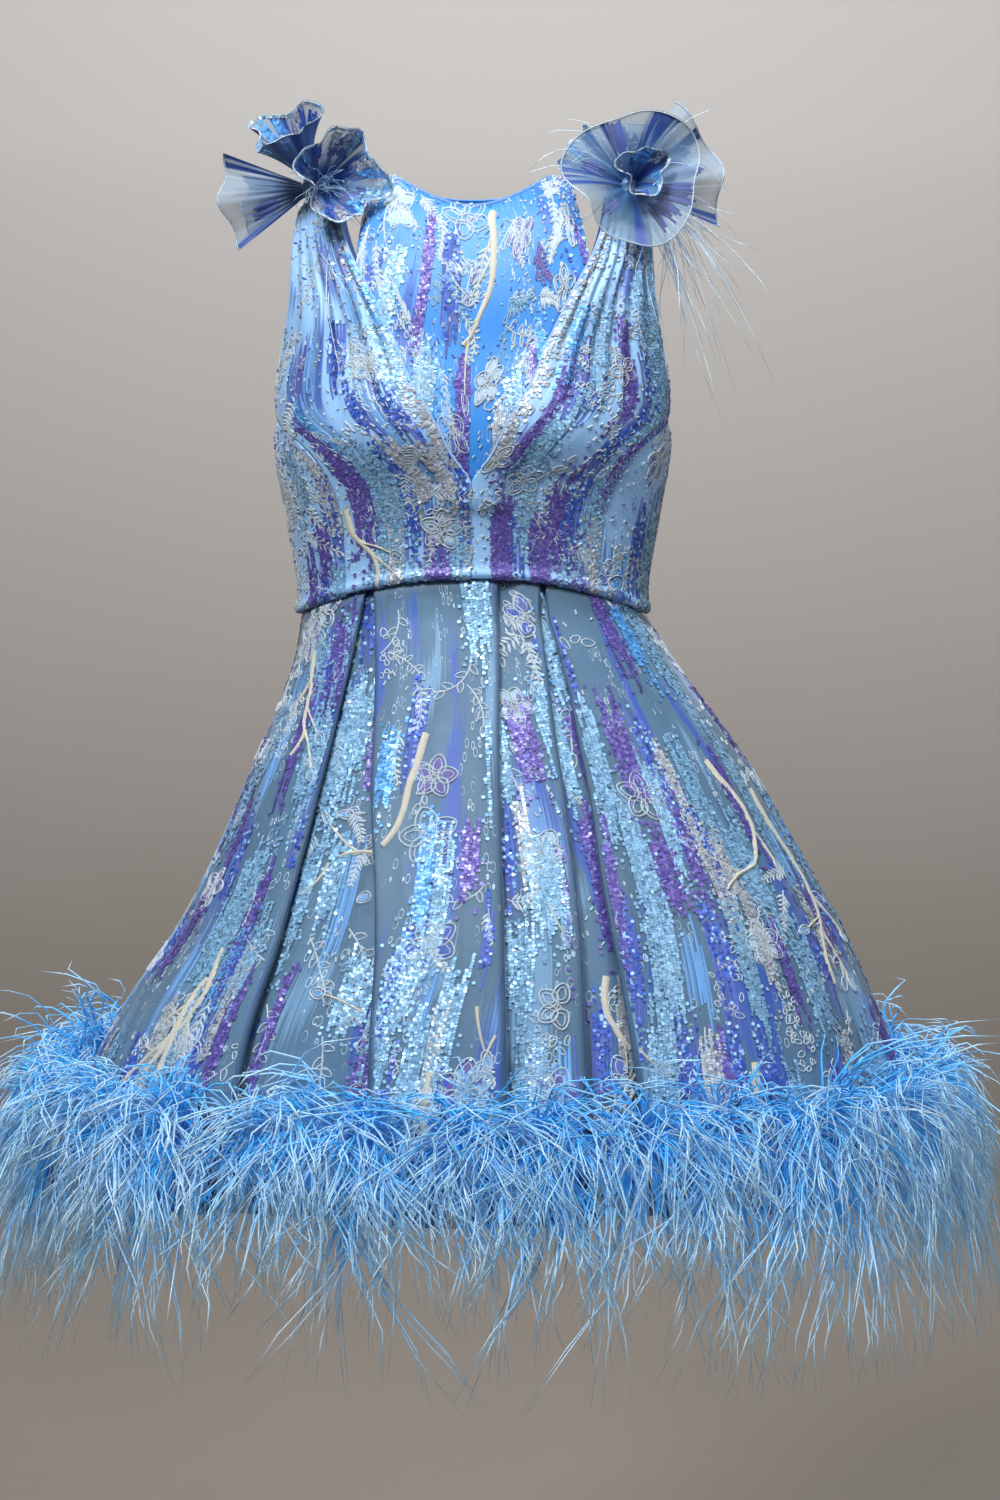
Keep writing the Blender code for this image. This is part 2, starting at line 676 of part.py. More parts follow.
def back_path(z):
    """From the side seam, at 90 degrees, to the centre back, at 180."""
    edge, crease = smooth_table(BACK_FOLDS, z)
    turn, tip = between(PLEAT_TURN, skirt_share(z)), between(FOLD_ROUND, skirt_share(z))
    path = [(90.0 + a, 0) for a in spread(0.0, 90.0 - edge, 8)[:-1]]
    path += [(180.0 - a, layer) for a, layer in inverted_pleat(edge, crease, turn, tip)]
    path += [(180.0 - a, 0) for a in spread(crease, 0.0, 4)[1:]]
    return path


def skirt_panel(name, path_at, seams):
    """A skirt panel whose wall follows its folds from the waist to the hem. seams gives the axis each end faces."""
    grid = []
    at_waist = path_at(WAIST_SIDE_Z)
    for below in (*TUCKED_ROWS, *SKIRT_LEVELS):
        row = []
        for j in range(len(at_waist)):
            edge = waist_z(math.radians(abs(at_waist[j][0])))
            tucked = below in TUCKED_ROWS
            z = edge - below if tucked else edge + (HEM_Z - edge) * below
            angle, layer = path_at(z)[j]
            row.append(outline(angle, z, layer * between(PLEAT_LAYER, skirt_share(z)), tucked))
        grid.append(row)
    for column, axis, shift in ((0, *seams[0]), (-1, *seams[1])):
        for row in grid:
            row[column][axis] = shift
    normals = grid_normals(grid)
    for column, axis in ((0, seams[0][0]), (-1, seams[1][0])):
        for line in normals:
            line[column][axis] = 0.0
            line[column].normalize()
    inner = moved(grid, normals, SKIRT_WALL / 2)
    outer = moved(grid, normals, -SKIRT_WALL / 2)
    return wall(name, inner, outer, ORGANZA)


def mirrored(path_at):
    return lambda z: [(-a, layer) for a, layer in reversed(path_at(z))]


skirt_panel("skirt_front", front_path, ((1, -SEAM / 2), (1, -SEAM / 2)))
skirt_panel("skirt_back_left", back_path, ((1, SEAM / 2), (0, SEAM / 2)))
skirt_panel("skirt_back_right", mirrored(back_path), ((0, -SEAM / 2), (1, SEAM / 2)))


def lining():
    """The satin lining, hung from the waist seam just inside the bodice."""
    grid = []
    for above, drop in LINING_TOP:
        row = []
        for k in range(LINING_COLUMNS):
            degrees = 360.0 * k / LINING_COLUMNS - 180.0
            z = waist_z(math.radians(abs(degrees))) + TUCK + above
            row.append(outline(degrees, z, drop, tucked=True))
        grid.append(row)
    for share in LINING_LEVELS:
        row = []
        for k in range(LINING_COLUMNS):
            degrees = 360.0 * k / LINING_COLUMNS - 180.0
            top = waist_z(math.radians(abs(degrees))) + TUCK
            z = top + (LINING_HEM_Z - top) * share
            row.append(outline(degrees, z, between(LINING_DROP, skirt_share(z))))
        grid.append(row)
    normals = grid_normals(grid, ring=True)
    inner = moved(grid, normals, LINING_WALL / 2)
    outer = moved(grid, normals, -LINING_WALL / 2)
    return wall("skirt_lining", inner, outer, LINING, ring=True)


lining()


# Feather locks

def bend(points, t):
    """A point on the cubic curve through four control points."""
    a, b, c, d = points
    return a * (1 - t) ** 3 + b * 3 * t * (1 - t) ** 2 + c * 3 * t * t * (1 - t) + d * t**3


def add_lock(bm, face, controls, half_width, half_thickness, sections):
    """Extrudes one face into a feather lock that follows a curve and tapers to a point."""
    normal = face.normal.copy()
    up = Vector((0, 0, 1))
    aside = up.cross(normal) if abs(normal.z) < 0.9 else Vector((1, 0, 0))
    aside.normalize()
    across = normal.cross(aside).normalized()
    for step in range(1, sections + 1):
        t = step / (sections + 1)
        place = bend(controls, t)
        along = (bend(controls, t + 0.05) - bend(controls, t - 0.05)).normalized()
        centre = face.calc_center_median()
        face = bmesh.ops.extrude_discrete_faces(bm, faces=[face])["faces"][0]
        signs = [((v.co - centre).dot(aside), (v.co - centre).dot(across)) for v in face.verts]
        across = along.cross(aside).normalized()
        taper = 1.08 - 0.50 * t
        for v, (wide, thick) in zip(face.verts, signs):
            v.co = (
                place + aside * math.copysign(half_width * taper, wide)
                + across * math.copysign(half_thickness * taper, thick)
            )
    bmesh.ops.poke(bm, faces=[face])["verts"][0].co = controls[3]


def trim_controls(start, out, rise, reach, drop):
    up = Vector((0, 0, 1))
    return (
        start,
        start + out * (reach * 0.30) + up * (rise * 1.30),
        start + out * (reach * 1.00) + up * (rise * 1.25 - max(drop, 0) * 0.15),
        start + out * reach - up * drop,
    )


def feather_trim():
    grid = []
    for z in (TRIM_Z - TRIM_H / 2, TRIM_Z, TRIM_Z + TRIM_H / 2):
        row = []
        for k in range(TRIM_COLUMNS):
            degrees = 360.0 * k / TRIM_COLUMNS - 180.0
            row.append(outline(degrees, z, -(SKIRT_WALL / 2 + TRIM_CLEAR)))
        grid.append(row)
    normals = grid_normals(grid, ring=True)
    obj = wall("feather_trim", grid, moved(grid, normals, TRIM_WALL), FEATHER, ring=True)
    bm = bmesh.new()
    bm.from_mesh(obj.data)
    outward = []
    for face in bm.faces:
        centre = face.calc_center_median()
        if abs(face.normal.z) < 0.7 and face.normal.dot(Vector((centre.x, centre.y, 0)).normalized()) > 0.5:
            turn = math.atan2(centre.x, -centre.y)
            outward.append((face, turn, centre.z > TRIM_Z))
    outward.sort(key=lambda entry: (entry[2], entry[1]))
    for place, (face, _, upper) in enumerate(outward):
        out = Vector((face.normal.x, face.normal.y, 0)).normalized()
        name = (("droop", "long"), ("curl", "arch"))[upper][place % 2]
        rise, reach, drop, half_width, half_thickness, sections = LOCKS[name]
        controls = trim_controls(face.calc_center_median(), out, rise, reach, drop)
        add_lock(bm, face, controls, half_width, half_thickness, sections)
    bm.to_mesh(obj.data)
    bm.free()


feather_trim()


# Shoulder bows

def knot_centre(mirror):
    seat = over_shoulder(KNOT_ACROSS, KNOT_DEGREES, -1)
    lifted = seat + torso_normal(seat, -1) * (GATHER_DEPTH + BODICE_WALL + KNOT_CLEAR + KNOT_R)
    return Vector((lifted.x * mirror, lifted.y, lifted.z))


def direction(azimuth, elevation, mirror):
    azimuth, elevation = math.radians(azimuth), math.radians(elevation)
    return Vector((
        mirror * math.sin(azimuth) * math.cos(elevation),
        -math.cos(azimuth) * math.cos(elevation),
        math.sin(elevation),
    ))


def petal(name, sight, columns, ring):
    """A wall whose every run from the knot follows sight(share across, share out), which gives a point."""
    grid = []
    for level in PETAL_LEVELS:
        count = columns if ring else columns - 1
        grid.append([sight(j / count, level) for j in range(columns)])
    normals = grid_normals(grid, ring)
    half = ORGANZA_WALL / 2
    return wall(name, moved(grid, normals, half), moved(grid, normals, -half), BOW_ORGANZA, ring)


def funnel(bow, name, azimuth, elevation, half_start, half_rim, length, ruffles, ruffle_angle, columns):
    mirror = 1 if bow == "left" else -1
    centre, axis = knot_centre(mirror), direction(azimuth, elevation, mirror)
    aside = axis.cross(Vector((0, 0, 1))).normalized()
    above = aside.cross(axis)

    def sight(share, level):
        turn = 2 * math.pi * share
        half = half_start + (half_rim - half_start) * level**0.7
        half += ruffle_angle * level * math.sin(ruffles * turn)
        out = math.radians(half)
        ray = axis * math.cos(out) + (aside * math.cos(turn) + above * math.sin(turn)) * math.sin(out)
        reach = length * (1 + 0.08 * math.sin(ruffles * turn + 1.2))
        return centre + ray * (PETAL_START + (reach - PETAL_START) * level)

    petal(f"bow_{bow}_{name}", sight, columns, True)


def fan(bow, name, first, middle, last, length, ruffles):
    mirror = 1 if bow == "left" else -1
    centre = knot_centre(mirror)
    rays = [direction(*place, mirror) for place in (first, middle, last)]

    def sight(share, level):
        start, end = (rays[0], rays[1]) if share < 0.5 else (rays[1], rays[2])
        ray = start.lerp(end, share * 2 % 1.0 if share < 1 else 1.0).normalized()
        lean = (rays[2] - rays[0]).cross(rays[1]).normalized()
        sway = math.radians(FAN_RUFFLE) * level * math.sin(2 * math.pi * ruffles * share)
        ray = (ray + lean * sway).normalized()
        reach = length * (0.92 + 0.08 * math.cos(4 * math.pi * share))
        return centre + ray * (PETAL_START + (reach - PETAL_START) * level)

    petal(f"bow_{bow}_{name}", sight, FAN_COLUMNS, False)


def knot(bow):
    mirror = 1 if bow == "left" else -1
    mesh = bpy.data.meshes.new(f"bow_{bow}_knot")
    bm = bmesh.new()
    bmesh.ops.create_icosphere(bm, subdivisions=2, radius=KNOT_R)
    bmesh.ops.translate(bm, verts=bm.verts, vec=knot_centre(mirror))
    bm.to_mesh(mesh)
    bm.free()
    mesh.materials.append(BOW_ORGANZA)
    mesh.shade_smooth()
    bpy.context.scene.collection.objects.link(bpy.data.objects.new(f"bow_{bow}_knot", mesh))


def tuft(bow, azimuth, elevation):
    mirror = 1 if bow == "left" else -1
    out = direction(azimuth, elevation, mirror)
    corner = TUFT_BEAD / 2 * (abs(out.x) + abs(out.y) + abs(out.z))
    root = knot_centre(mirror) + out * (KNOT_R + SEAM + corner)
    mesh = bpy.data.meshes.new(f"bow_{bow}_feathers")
    bm = bmesh.new()
    bmesh.ops.create_cube(bm, size=TUFT_BEAD)
    bmesh.ops.translate(bm, verts=bm.verts, vec=root)
    bm.normal_update()
    sides = {
        "outer": Vector((mirror, 0, 0)), "inner": Vector((-mirror, 0, 0)),
        "front": Vector((0, -1, 0)), "lower": Vector((0, 0, -1)),
    }
    strands = [row[1:] for row in STRANDS if row[0] == bow]
    roots = [max(bm.faces, key=lambda f, side=row[0]: f.normal.dot(sides[side])) for row in strands]
    for face, (side, forwards, outwards, down) in zip(roots, strands):
        facing = sides[side]
        start = face.calc_center_median()
        tip = start + Vector((outwards * mirror, -forwards, -down))
        controls = (start, start + facing * 0.014, start.lerp(tip, 0.6) + Vector((0, -0.004, 0.016)), tip)
        add_lock(bm, face, controls, 0.0030, 0.0022, 3)
    bmesh.ops.recalc_face_normals(bm, faces=bm.faces[:])
    bm.to_mesh(mesh)
    bm.free()
    mesh.materials.append(FEATHER)
    bpy.context.scene.collection.objects.link(bpy.data.objects.new(f"bow_{bow}_feathers", mesh))


for bow_name in ("left", "right"):
    knot(bow_name)
for funnel_row in FUNNELS:
    funnel(*funnel_row)
for fan_row in FANS:
    fan(*fan_row)
for tuft_row in TUFTS:
    tuft(*tuft_row)
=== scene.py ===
"""Looks of the feather mini dress: embroidered satin and organza, shoulder bows and a feather hem.

Every piece is in metres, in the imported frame: +Z up, the dress's front faces -Y, heights are negative below
the shoulders. Cloth is made from grids that follow the body and the skirt's folds, and trims lie on them.
"""

import math

import bmesh
import bpy
import numpy as np
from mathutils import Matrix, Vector


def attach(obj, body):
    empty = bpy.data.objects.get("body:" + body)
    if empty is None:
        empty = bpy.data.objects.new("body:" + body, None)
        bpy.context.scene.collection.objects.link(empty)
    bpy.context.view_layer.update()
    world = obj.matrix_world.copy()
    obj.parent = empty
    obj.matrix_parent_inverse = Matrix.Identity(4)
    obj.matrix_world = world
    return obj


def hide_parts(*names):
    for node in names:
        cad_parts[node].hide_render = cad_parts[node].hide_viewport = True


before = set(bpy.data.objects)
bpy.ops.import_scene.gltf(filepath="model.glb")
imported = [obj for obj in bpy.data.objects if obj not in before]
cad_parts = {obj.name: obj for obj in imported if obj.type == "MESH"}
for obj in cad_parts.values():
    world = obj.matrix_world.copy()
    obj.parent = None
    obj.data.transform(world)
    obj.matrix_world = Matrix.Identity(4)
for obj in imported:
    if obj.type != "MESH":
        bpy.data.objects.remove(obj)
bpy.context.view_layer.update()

# Driving dimensions, the same as the solids'
SEAM = 0.0003
BODICE_WALL = 0.0020
HEM_Z = -0.761
LINING_HEM_Z = -0.748
WAIST_SIDE_Z = -0.320
WAIST_ARCH = 0.027
WAIST_ROLL = 0.0022
TUCK = 0.008
TUCK_CLEAR = 0.0019
NECK_R = 0.062
CHEST_Z = -0.110
SHOULDER_ARC = 0.182
V_POINT_Z = -0.219
UNDERARM_Z = -0.172
UNDERARM_DIP = 0.009
PRINCESS_AT_WAIST = 0.098
ROUNDNESS = 2.3
SKIRT_ROUNDNESS = 2.05

TORSO = (
    # height, half_width, front, back
    (-0.330, 0.1370, 0.0900, 0.0840),
    (-0.293, 0.1375, 0.0920, 0.0840),
    (-0.260, 0.1430, 0.0960, 0.0860),
    (-0.231, 0.1480, 0.1020, 0.0900),
    (-0.200, 0.1535, 0.1070, 0.0940),
    (-0.172, 0.1550, 0.1080, 0.0970),
    (-0.146, 0.1550, 0.1050, 0.0990),
    (-0.110, 0.1530, 0.1000, 0.1000),
)
CROWN = (
    # across, height
    (0.000, 0.021),
    (0.062, 0.021),
    (0.080, 0.015),
    (0.100, 0.008),
    (0.125, 0.000),
    (0.140, -0.007),
    (0.155, -0.016),
)
BUST = {"across": 0.066, "height": -0.180, "rise": 0.015, "width": 0.040, "above": 0.050, "below": 0.032}

# Edges of the bodice panels. "up" is measured over the body from the chest line.
CUP_EDGES = (
    # up, inner, outer
    (-0.1650, 0.0000, 0.0970),
    (-0.1400, 0.0000, 0.0990),
    (-0.1210, 0.0000, 0.1040),
    (-0.1090, 0.0000, 0.1090),
    (-0.0900, 0.0150, 0.1210),
    (-0.0760, 0.0230, 0.1350),
    (-0.0620, 0.0310, 0.1500),
    (-0.0360, 0.0460, 0.1520),
    (-0.0050, 0.0570, 0.1460),
    (0.0288, 0.0740, 0.1390),
    (0.0618, 0.0900, 0.1370),
    (0.1010, 0.1000, 0.1360),
    (0.1415, 0.1030, 0.1340),
    (0.1818, 0.1040, 0.1330),
)
BACK_EDGES = (
    # up, inner, outer
    (-0.0520, 0.0000, 0.1510),
    (-0.0350, 0.0120, 0.1435),
    (-0.0050, 0.0420, 0.1370),
    (0.0288, 0.0680, 0.1330),
    (0.0618, 0.0880, 0.1320),
    (0.1010, 0.0990, 0.1320),
    (0.1415, 0.1030, 0.1330),
    (0.1818, 0.1040, 0.1330),
)
YOKE_EDGE = (
    # up, half_width
    (-0.120, 0.0000),
    (-0.109, 0.0120),
    (-0.089, 0.0280),
    (-0.062, 0.0440),
    (-0.036, 0.0590),
    (-0.005, 0.0710),
    (0.023, 0.0860),
    (0.050, 0.0880),
    (0.080, 0.0860),
    (0.115, 0.0810),
    (0.150, 0.0760),
    (0.1818, 0.0735),
)
YOKE_SPREAD = {"neck": 1.25, "edge": 0.85}
YOKE_UNDERLAP = 0.012
YOKE_CLEAR = 0.0017
BAND_HEIGHTS = (0.021, 0.012)
BAND_SLOPE = (0.0035, 0.0085)

SKIRT = (
    # height, left, right, front, back
    (-0.293, 0.1360, 0.1360, 0.0915, 0.0830),
    (-0.322, 0.1362, 0.1370, 0.0960, 0.0845),
    (-0.335, 0.1375, 0.1450, 0.1000, 0.0900),
    (-0.359, 0.1420, 0.1600, 0.1080, 0.1000),
    (-0.391, 0.1540, 0.1840, 0.1190, 0.1150),
    (-0.439, 0.1750, 0.2180, 0.1370, 0.1360),
    (-0.503, 0.2010, 0.2550, 0.1620, 0.1630),
    (-0.567, 0.2330, 0.2910, 0.1870, 0.1880),
    (-0.631, 0.2770, 0.3200, 0.2080, 0.2100),
    (-0.695, 0.3100, 0.3440, 0.2240, 0.2260),
    (-0.761, 0.3450, 0.3730, 0.2400, 0.2420),
)
FRONT_FOLDS = (
    # height, left_edge, left_crease, centre_crease, centre_edge, right_crease, right_edge
    (-0.285, 33.3, 31.0, -2.8, 5.9, 19.3, 21.6),
    (-0.367, 40.3, 28.2, -2.4, 5.4, 18.0, 23.8),
    (-0.447, 40.4, 24.4, -1.8, 4.7, 17.1, 23.2),
    (-0.530, 39.6, 18.6, -1.2, 4.2, 16.0, 21.8),
    (-0.625, 37.0, 15.0, -0.6, 3.8, 14.4, 21.9),
    (-0.761, 33.0, 12.5, 0.0, 3.6, 13.4, 22.6),
)
BACK_FOLDS = (
    # height, edge, crease
    (-0.285, 28.0, 25.4),
    (-0.447, 33.0, 22.0),
    (-0.761, 31.0, 13.0),
)
PLEAT_LAYER = (0.0030, 0.0085)
PLEAT_TURN = (3.0, 4.6)
FOLD_ROUND = (0.62, 0.70)
HEM_WAVE = 0.0055
HEM_WAVES = 9
LINING_DROP = (0.0115, 0.0300)
TRIM_Z = -0.711

# Shoulder bows. Directions from a knot: azimuth from the front towards the arm, and elevation, in degrees.
KNOT_R = 0.0115
KNOT_ACROSS = 0.1159
KNOT_DEGREES = 70.0
STRAP_GATHERS = 0.0030
KNOT_CLEAR = 0.0006
KNOT_STAND = STRAP_GATHERS + BODICE_WALL + KNOT_CLEAR + KNOT_R
PETAL_START = 0.0118


# Numbers

def smooth_table(rows, height):
    """The columns of a sorted table at a height, on a smooth curve through its rows."""
    if height <= rows[0][0]:
        return rows[0][1:]
    if height >= rows[-1][0]:
        return rows[-1][1:]
    k = max(i for i in range(len(rows) - 1) if rows[i][0] <= height)
    low, high = rows[k:k + 2]
    before, after = rows[max(k - 1, 0)], rows[min(k + 2, len(rows) - 1)]
    span = high[0] - low[0]
    t = (height - low[0]) / span
    weights = (2 * t**3 - 3 * t**2 + 1, t**3 - 2 * t**2 + t, 3 * t**2 - 2 * t**3, t**3 - t**2)
    values = []
    for c in range(1, len(low)):
        slope_low = (high[c] - before[c]) / (high[0] - before[0]) * span
        slope_high = (after[c] - low[c]) / (after[0] - low[0]) * span
        terms = (low[c], slope_low, high[c], slope_high)
        values.append(sum(weight * term for weight, term in zip(weights, terms)))
    return tuple(values)


TORSO, CUP_EDGES, BACK_EDGES, SKIRT, FRONT_FOLDS, BACK_FOLDS = (
    tuple(sorted(table)) for table in (TORSO, CUP_EDGES, BACK_EDGES, SKIRT, FRONT_FOLDS, BACK_FOLDS)
)


def between(pair, share):
    return pair[0] + (pair[1] - pair[0]) * share


def ease(t):
    """A share kept between 0 and 1 that starts and ends slowly."""
    t = min(max(t, 0.0), 1.0)
    return t * t * (3 - 2 * t)


def spread(first, last, count):
    return [first + (last - first) * k / (count - 1) for k in range(count)]


def grid(place, downs, acrosses):
    """Rows of places, from a function of how far down and how far across."""
    return [[place(down, across) for across in acrosses] for down in downs]


# Finishes

LACE_SIZE = 0.0085
LACE_TALL = 0.72
BRIGHTEST = 0.95
SATIN_BLUE = (0.030, 0.22, 0.64)
PERIWINKLE = (0.27, 0.50, 0.86)
ROYAL = (0.022, 0.075, 0.38)
NAVY = (0.008, 0.032, 0.17)
VIOLET = (0.09, 0.058, 0.32)
ICE = (0.56, 0.72, 0.86)
SLATE = (0.112, 0.225, 0.355)
LINING_BLUE = (0.055, 0.18, 0.36)
SMOKE_BLUE = (0.14, 0.26, 0.39)
STREAKED_BLUE = (0.13, 0.29, 0.49)
PALE_STITCHING = (0.20, 0.42, 0.70)
# Painted shade for the layers hidden in a pleat's fold
FOLD_SHADE_BLUE = (0.012, 0.050, 0.12)
GATHERED_BLUE = (0.007, 0.066, 0.23)
STRAND_BLUE = (0.014, 0.055, 0.30)
STITCH_SHADE = (0.20, 0.22, 0.28)
CREAM = (0.62, 0.61, 0.50)


class Value:
    """A number or colour that flows through a finish. Sums on it add Math nodes."""

    def __init__(self, finish, socket):
        self.finish = finish
        self.socket = socket

    def sum(self, operation, *values):
        return self.finish.node("Math", {"operation": operation}, dict(enumerate(values)))

    def __add__(self, other):
        return self.sum("ADD", self, other)

    def __sub__(self, other):
        return self.sum("SUBTRACT", self, other)

    def __rsub__(self, other):
        return self.sum("SUBTRACT", other, self)

    def __mul__(self, other):
        return self.sum("MULTIPLY", self, other)

    def __pow__(self, other):
        return self.sum("POWER", self, other)

    def magnitude(self):
        return self.sum("ABSOLUTE", self)

    def within(self):
        """Kept between 0 and 1."""
        return self.finish.node("Clamp", {}, {0: self})

    __radd__ = __add__
    __rmul__ = __mul__


class Finish:
    """One material, made of its shader's constant values and the nodes that vary over the piece."""

    def __init__(self, name, constants):
        self.material = bpy.data.materials.new(name)
        self.material.use_nodes = True
        self.tree = self.material.node_tree
        self.shader = self.tree.nodes["Principled BSDF"]
        for name, value in constants.items():
            self.set(name, value)

    def set(self, name, value):
        self.give(self.shader.inputs[name], value)

    def give(self, socket, value):
        if isinstance(value, Value):
            self.tree.links.new(value.socket, socket)
        elif isinstance(value, tuple) and len(value) < len(socket.default_value):
            socket.default_value = (*value, 1.0)
        else:
            socket.default_value = value

    def node(self, kind, settings, values, output=0):
        made = self.tree.nodes.new("ShaderNode" + kind)
        for name, value in settings.items():
            setattr(made, name, value)
        for socket, value in values.items():
            self.give(made.inputs[socket], value)
        return Value(self, made.outputs[output])

    def mix(self, factor, first, second):
        return self.node("Mix", {"data_type": "RGBA"}, {0: factor, 6: first, 7: second}, 2)

    def clouded(self, factor, colour, darker, lighter):
        """A colour between so many times itself, darker and lighter."""
        dark = tuple(c * darker for c in colour)
        return self.mix(factor, dark, tuple(min(c * lighter, BRIGHTEST) for c in colour))

    def on_piece(self, kind="UV"):
        return self.node("TexCoord", {}, {}, kind)

    def stretched(self, across, down, shift, place=None):
        """The piece's flat coordinates in metres, with so many repeats a metre across and down."""
        place = place or self.on_piece()
        scaled = self.node("VectorMath", {"operation": "MULTIPLY"}, {0: place, 1: (across, down, across)})
        return self.node("VectorMath", {"operation": "ADD"}, {0: scaled, 1: (shift, shift, shift)})

    def noise(self, across, down, shift=0.0, detail=2.0, place=None):
        return self.node("TexNoise", {}, {
            "Vector": self.stretched(across, down, shift, place), "Scale": 1.0, "Detail": detail,
        })

    def grain(self, scale, shift=0.0, detail=1.0):
        """Noise in the piece's own space, with so many grains a metre."""
        return self.noise(scale, scale, shift, detail, self.on_piece("Object"))

    def streaks(self, shift, least, threads=300.0):
        """Ragged vertical strokes of filled stitching, in patches."""
        strands = self.noise(threads, 9.0, shift, 1.0)
        patches = self.noise(19.0, 7.0, shift + 7.0, 1.5)
        return ((patches - least) * 16 + (strands - 0.5) * 5).within()

    def loops(self, shift, least):
        """Patches of small outlined loops, as lace thread makes."""
        cells = self.stretched(1 / LACE_SIZE, LACE_TALL / LACE_SIZE, shift)
        reach = self.node("TexVoronoi", {"feature": "F1"}, {
            "Vector": cells, "Scale": 1.0, "Randomness": 0.85,
        })
        ring = (1 - (reach - 0.34).magnitude() * 22).within()
        patches = self.noise(16.0, 11.0, shift + 3.0, 1.0)
        return ring * ((patches - least) * 14).within()

    def bumps(self, height, distance, strength):
        bump = self.node("Bump", {}, {"Height": height, "Distance": distance, "Strength": strength})
        self.set("Normal", bump)

    def stored(self, name, output=2):
        """What the piece's mesh keeps under a name: its factor, or its colour with output 0."""
        return self.node("Attribute", {"attribute_name": name}, {}, output)


def satin(name, colour, royal_from):
    """Satin with filled stitching in royal blue strokes and lace loops."""
    made = Finish(name, {"Roughness": 0.36, "Sheen Weight": 0.25, "Sheen Roughness": 0.4})
    base = made.clouded(made.noise(5.0, 3.0, 2.0), colour, 0.80, 1.18)
    strokes = made.streaks(11.0, royal_from)
    violet = made.streaks(31.0, royal_from + 0.05)
    lace = made.loops(4.0, 0.47)
    base = made.mix(strokes * 0.85, base, ROYAL)
    base = made.mix(violet * 0.8, base, VIOLET)
    base = made.mix(lace * 0.85, base, ICE)
    made.set("Base Color", base)
    made.set("Roughness", 0.34 + made.noise(900.0, 900.0, 0.0, 1.0) * 0.16)
    weave = made.noise(2400.0, 500.0, 0.0, 1.0)
    made.bumps(weave * 0.3 + strokes * 0.5 + violet * 0.5 + lace * 1.1, 0.0006, 0.6)
    return made.material


def organza(name, colour, cover, royal_from, loops_from):
    """Sheer organza whose strokes and loops of thread are opaque."""
    made = Finish(name, {"Sheen Weight": 0.35, "Sheen Roughness": 0.35, "Roughness": 0.5})
    cloudy = made.noise(7.0, 4.0, 5.0)
    base = made.clouded(cloudy, colour, 0.82, 1.22)
    strokes = made.streaks(17.0, royal_from)
    pale = made.streaks(53.0, royal_from + 0.03, 420.0)
    lace = made.loops(9.0, loops_from)
    base = made.mix(strokes * 0.9, base, ROYAL)
    base = made.mix(pale * 0.45, base, PALE_STITCHING)
    base = made.mix(lace, base, ICE)
    thread = made.noise(2600.0, 260.0, 1.0, 1.0)
    layered = made.stored("layered")
    # Where a fold's hidden layers lie, the organza is more opaque, as layered cloth is, and its colour is
    # painted dark blue: painted shade in the pleats' creases.
    made.set("Base Color", made.mix(layered * 0.85, base, FOLD_SHADE_BLUE))
    woven = cover + layered * 0.4 + (thread - 0.5) * 0.25 + (cloudy - 0.5) * 0.12
    made.set("Alpha", (woven + strokes * 0.4 + pale * 0.25 + lace * 0.5).within())
    made.bumps(thread * 0.4 + strokes * 0.6 + lace * 1.2, 0.0005, 0.5)
    return made.material


def plain_satin(name, colour, roughness):
    made = Finish(name, {"Roughness": roughness, "Sheen Weight": 0.2})
    creases_and_shade = made.noise(16.0, 60.0, 1.0)
    # The creases' noise also makes the colour lighter on their ridges and darker in their hollows: painted
    # light and painted shade.
    made.set("Base Color", made.clouded(creases_and_shade, colour, 0.86, 1.12))
    made.bumps(creases_and_shade + made.noise(1800.0, 500.0, 0.0, 1.0) * 0.06, 0.004, 0.5)
    return made.material


def petal_organza(name, colour, cover, royal_from):
    """The bows' organza: deep blue where it is gathered at the knot and almost clear at the rim."""
    made = Finish(name, {"Sheen Weight": 0.15, "Sheen Roughness": 0.35, "Roughness": 0.45})
    down = made.stored("down")
    gathered = (1.12 - down * 1.25).within()
    strands = made.noise(260.0, 6.0, 3.0, 1.0)
    patches = made.noise(30.0, 4.0, 8.0, 1.0)
    strokes = ((patches - royal_from) * 20 + (strands - 0.5) * 4).within()
    base = made.clouded(made.noise(14.0, 6.0, 2.0), colour, 0.75, 1.2)
    base = made.mix((gathered * (0.85 + (strands - 0.5) * 0.6)).within(), base, GATHERED_BLUE)
    base = made.mix(strokes * 0.92, base, made.mix(strands, NAVY, STRAND_BLUE))
    made.set("Base Color", base)
    woven = cover + gathered * 0.55 + (strands - 0.5) * 0.15
    made.set("Alpha", (woven + strokes * 0.5 + (down ** 40) * 0.4).within())
    made.bumps(strands, 0.0003, 0.4)
    return made.material


def sequin_finish():
    made = Finish("sequins", {
        "Metallic": 0.2, "Roughness": 0.35, "Coat Weight": 0.22, "Coat Roughness": 0.15,
    })
    made.set("Base Color", made.stored("tint", 0))
    made.set("Roughness", 0.26 + made.grain(140.0) * 0.30)
    return made.material


def thread_finish():
    """Raised embroidery thread. Its stitches cross the line, which the piece's own map follows."""
    made = Finish("embroidery thread", {"Roughness": 0.42, "Sheen Weight": 0.3})
    stitches = made.node("TexWave", {"bands_direction": "X"}, {
        "Vector": made.stretched(1.0, 0.15, 0.0), "Scale": 420.0, "Distortion": 0.6, "Detail": 1.0,
    }, 1)
    made.set("Base Color", made.mix(stitches * 0.35, made.stored("tint", 0), STITCH_SHADE))
    made.bumps(stitches, 0.0003, 0.7)
    return made.material


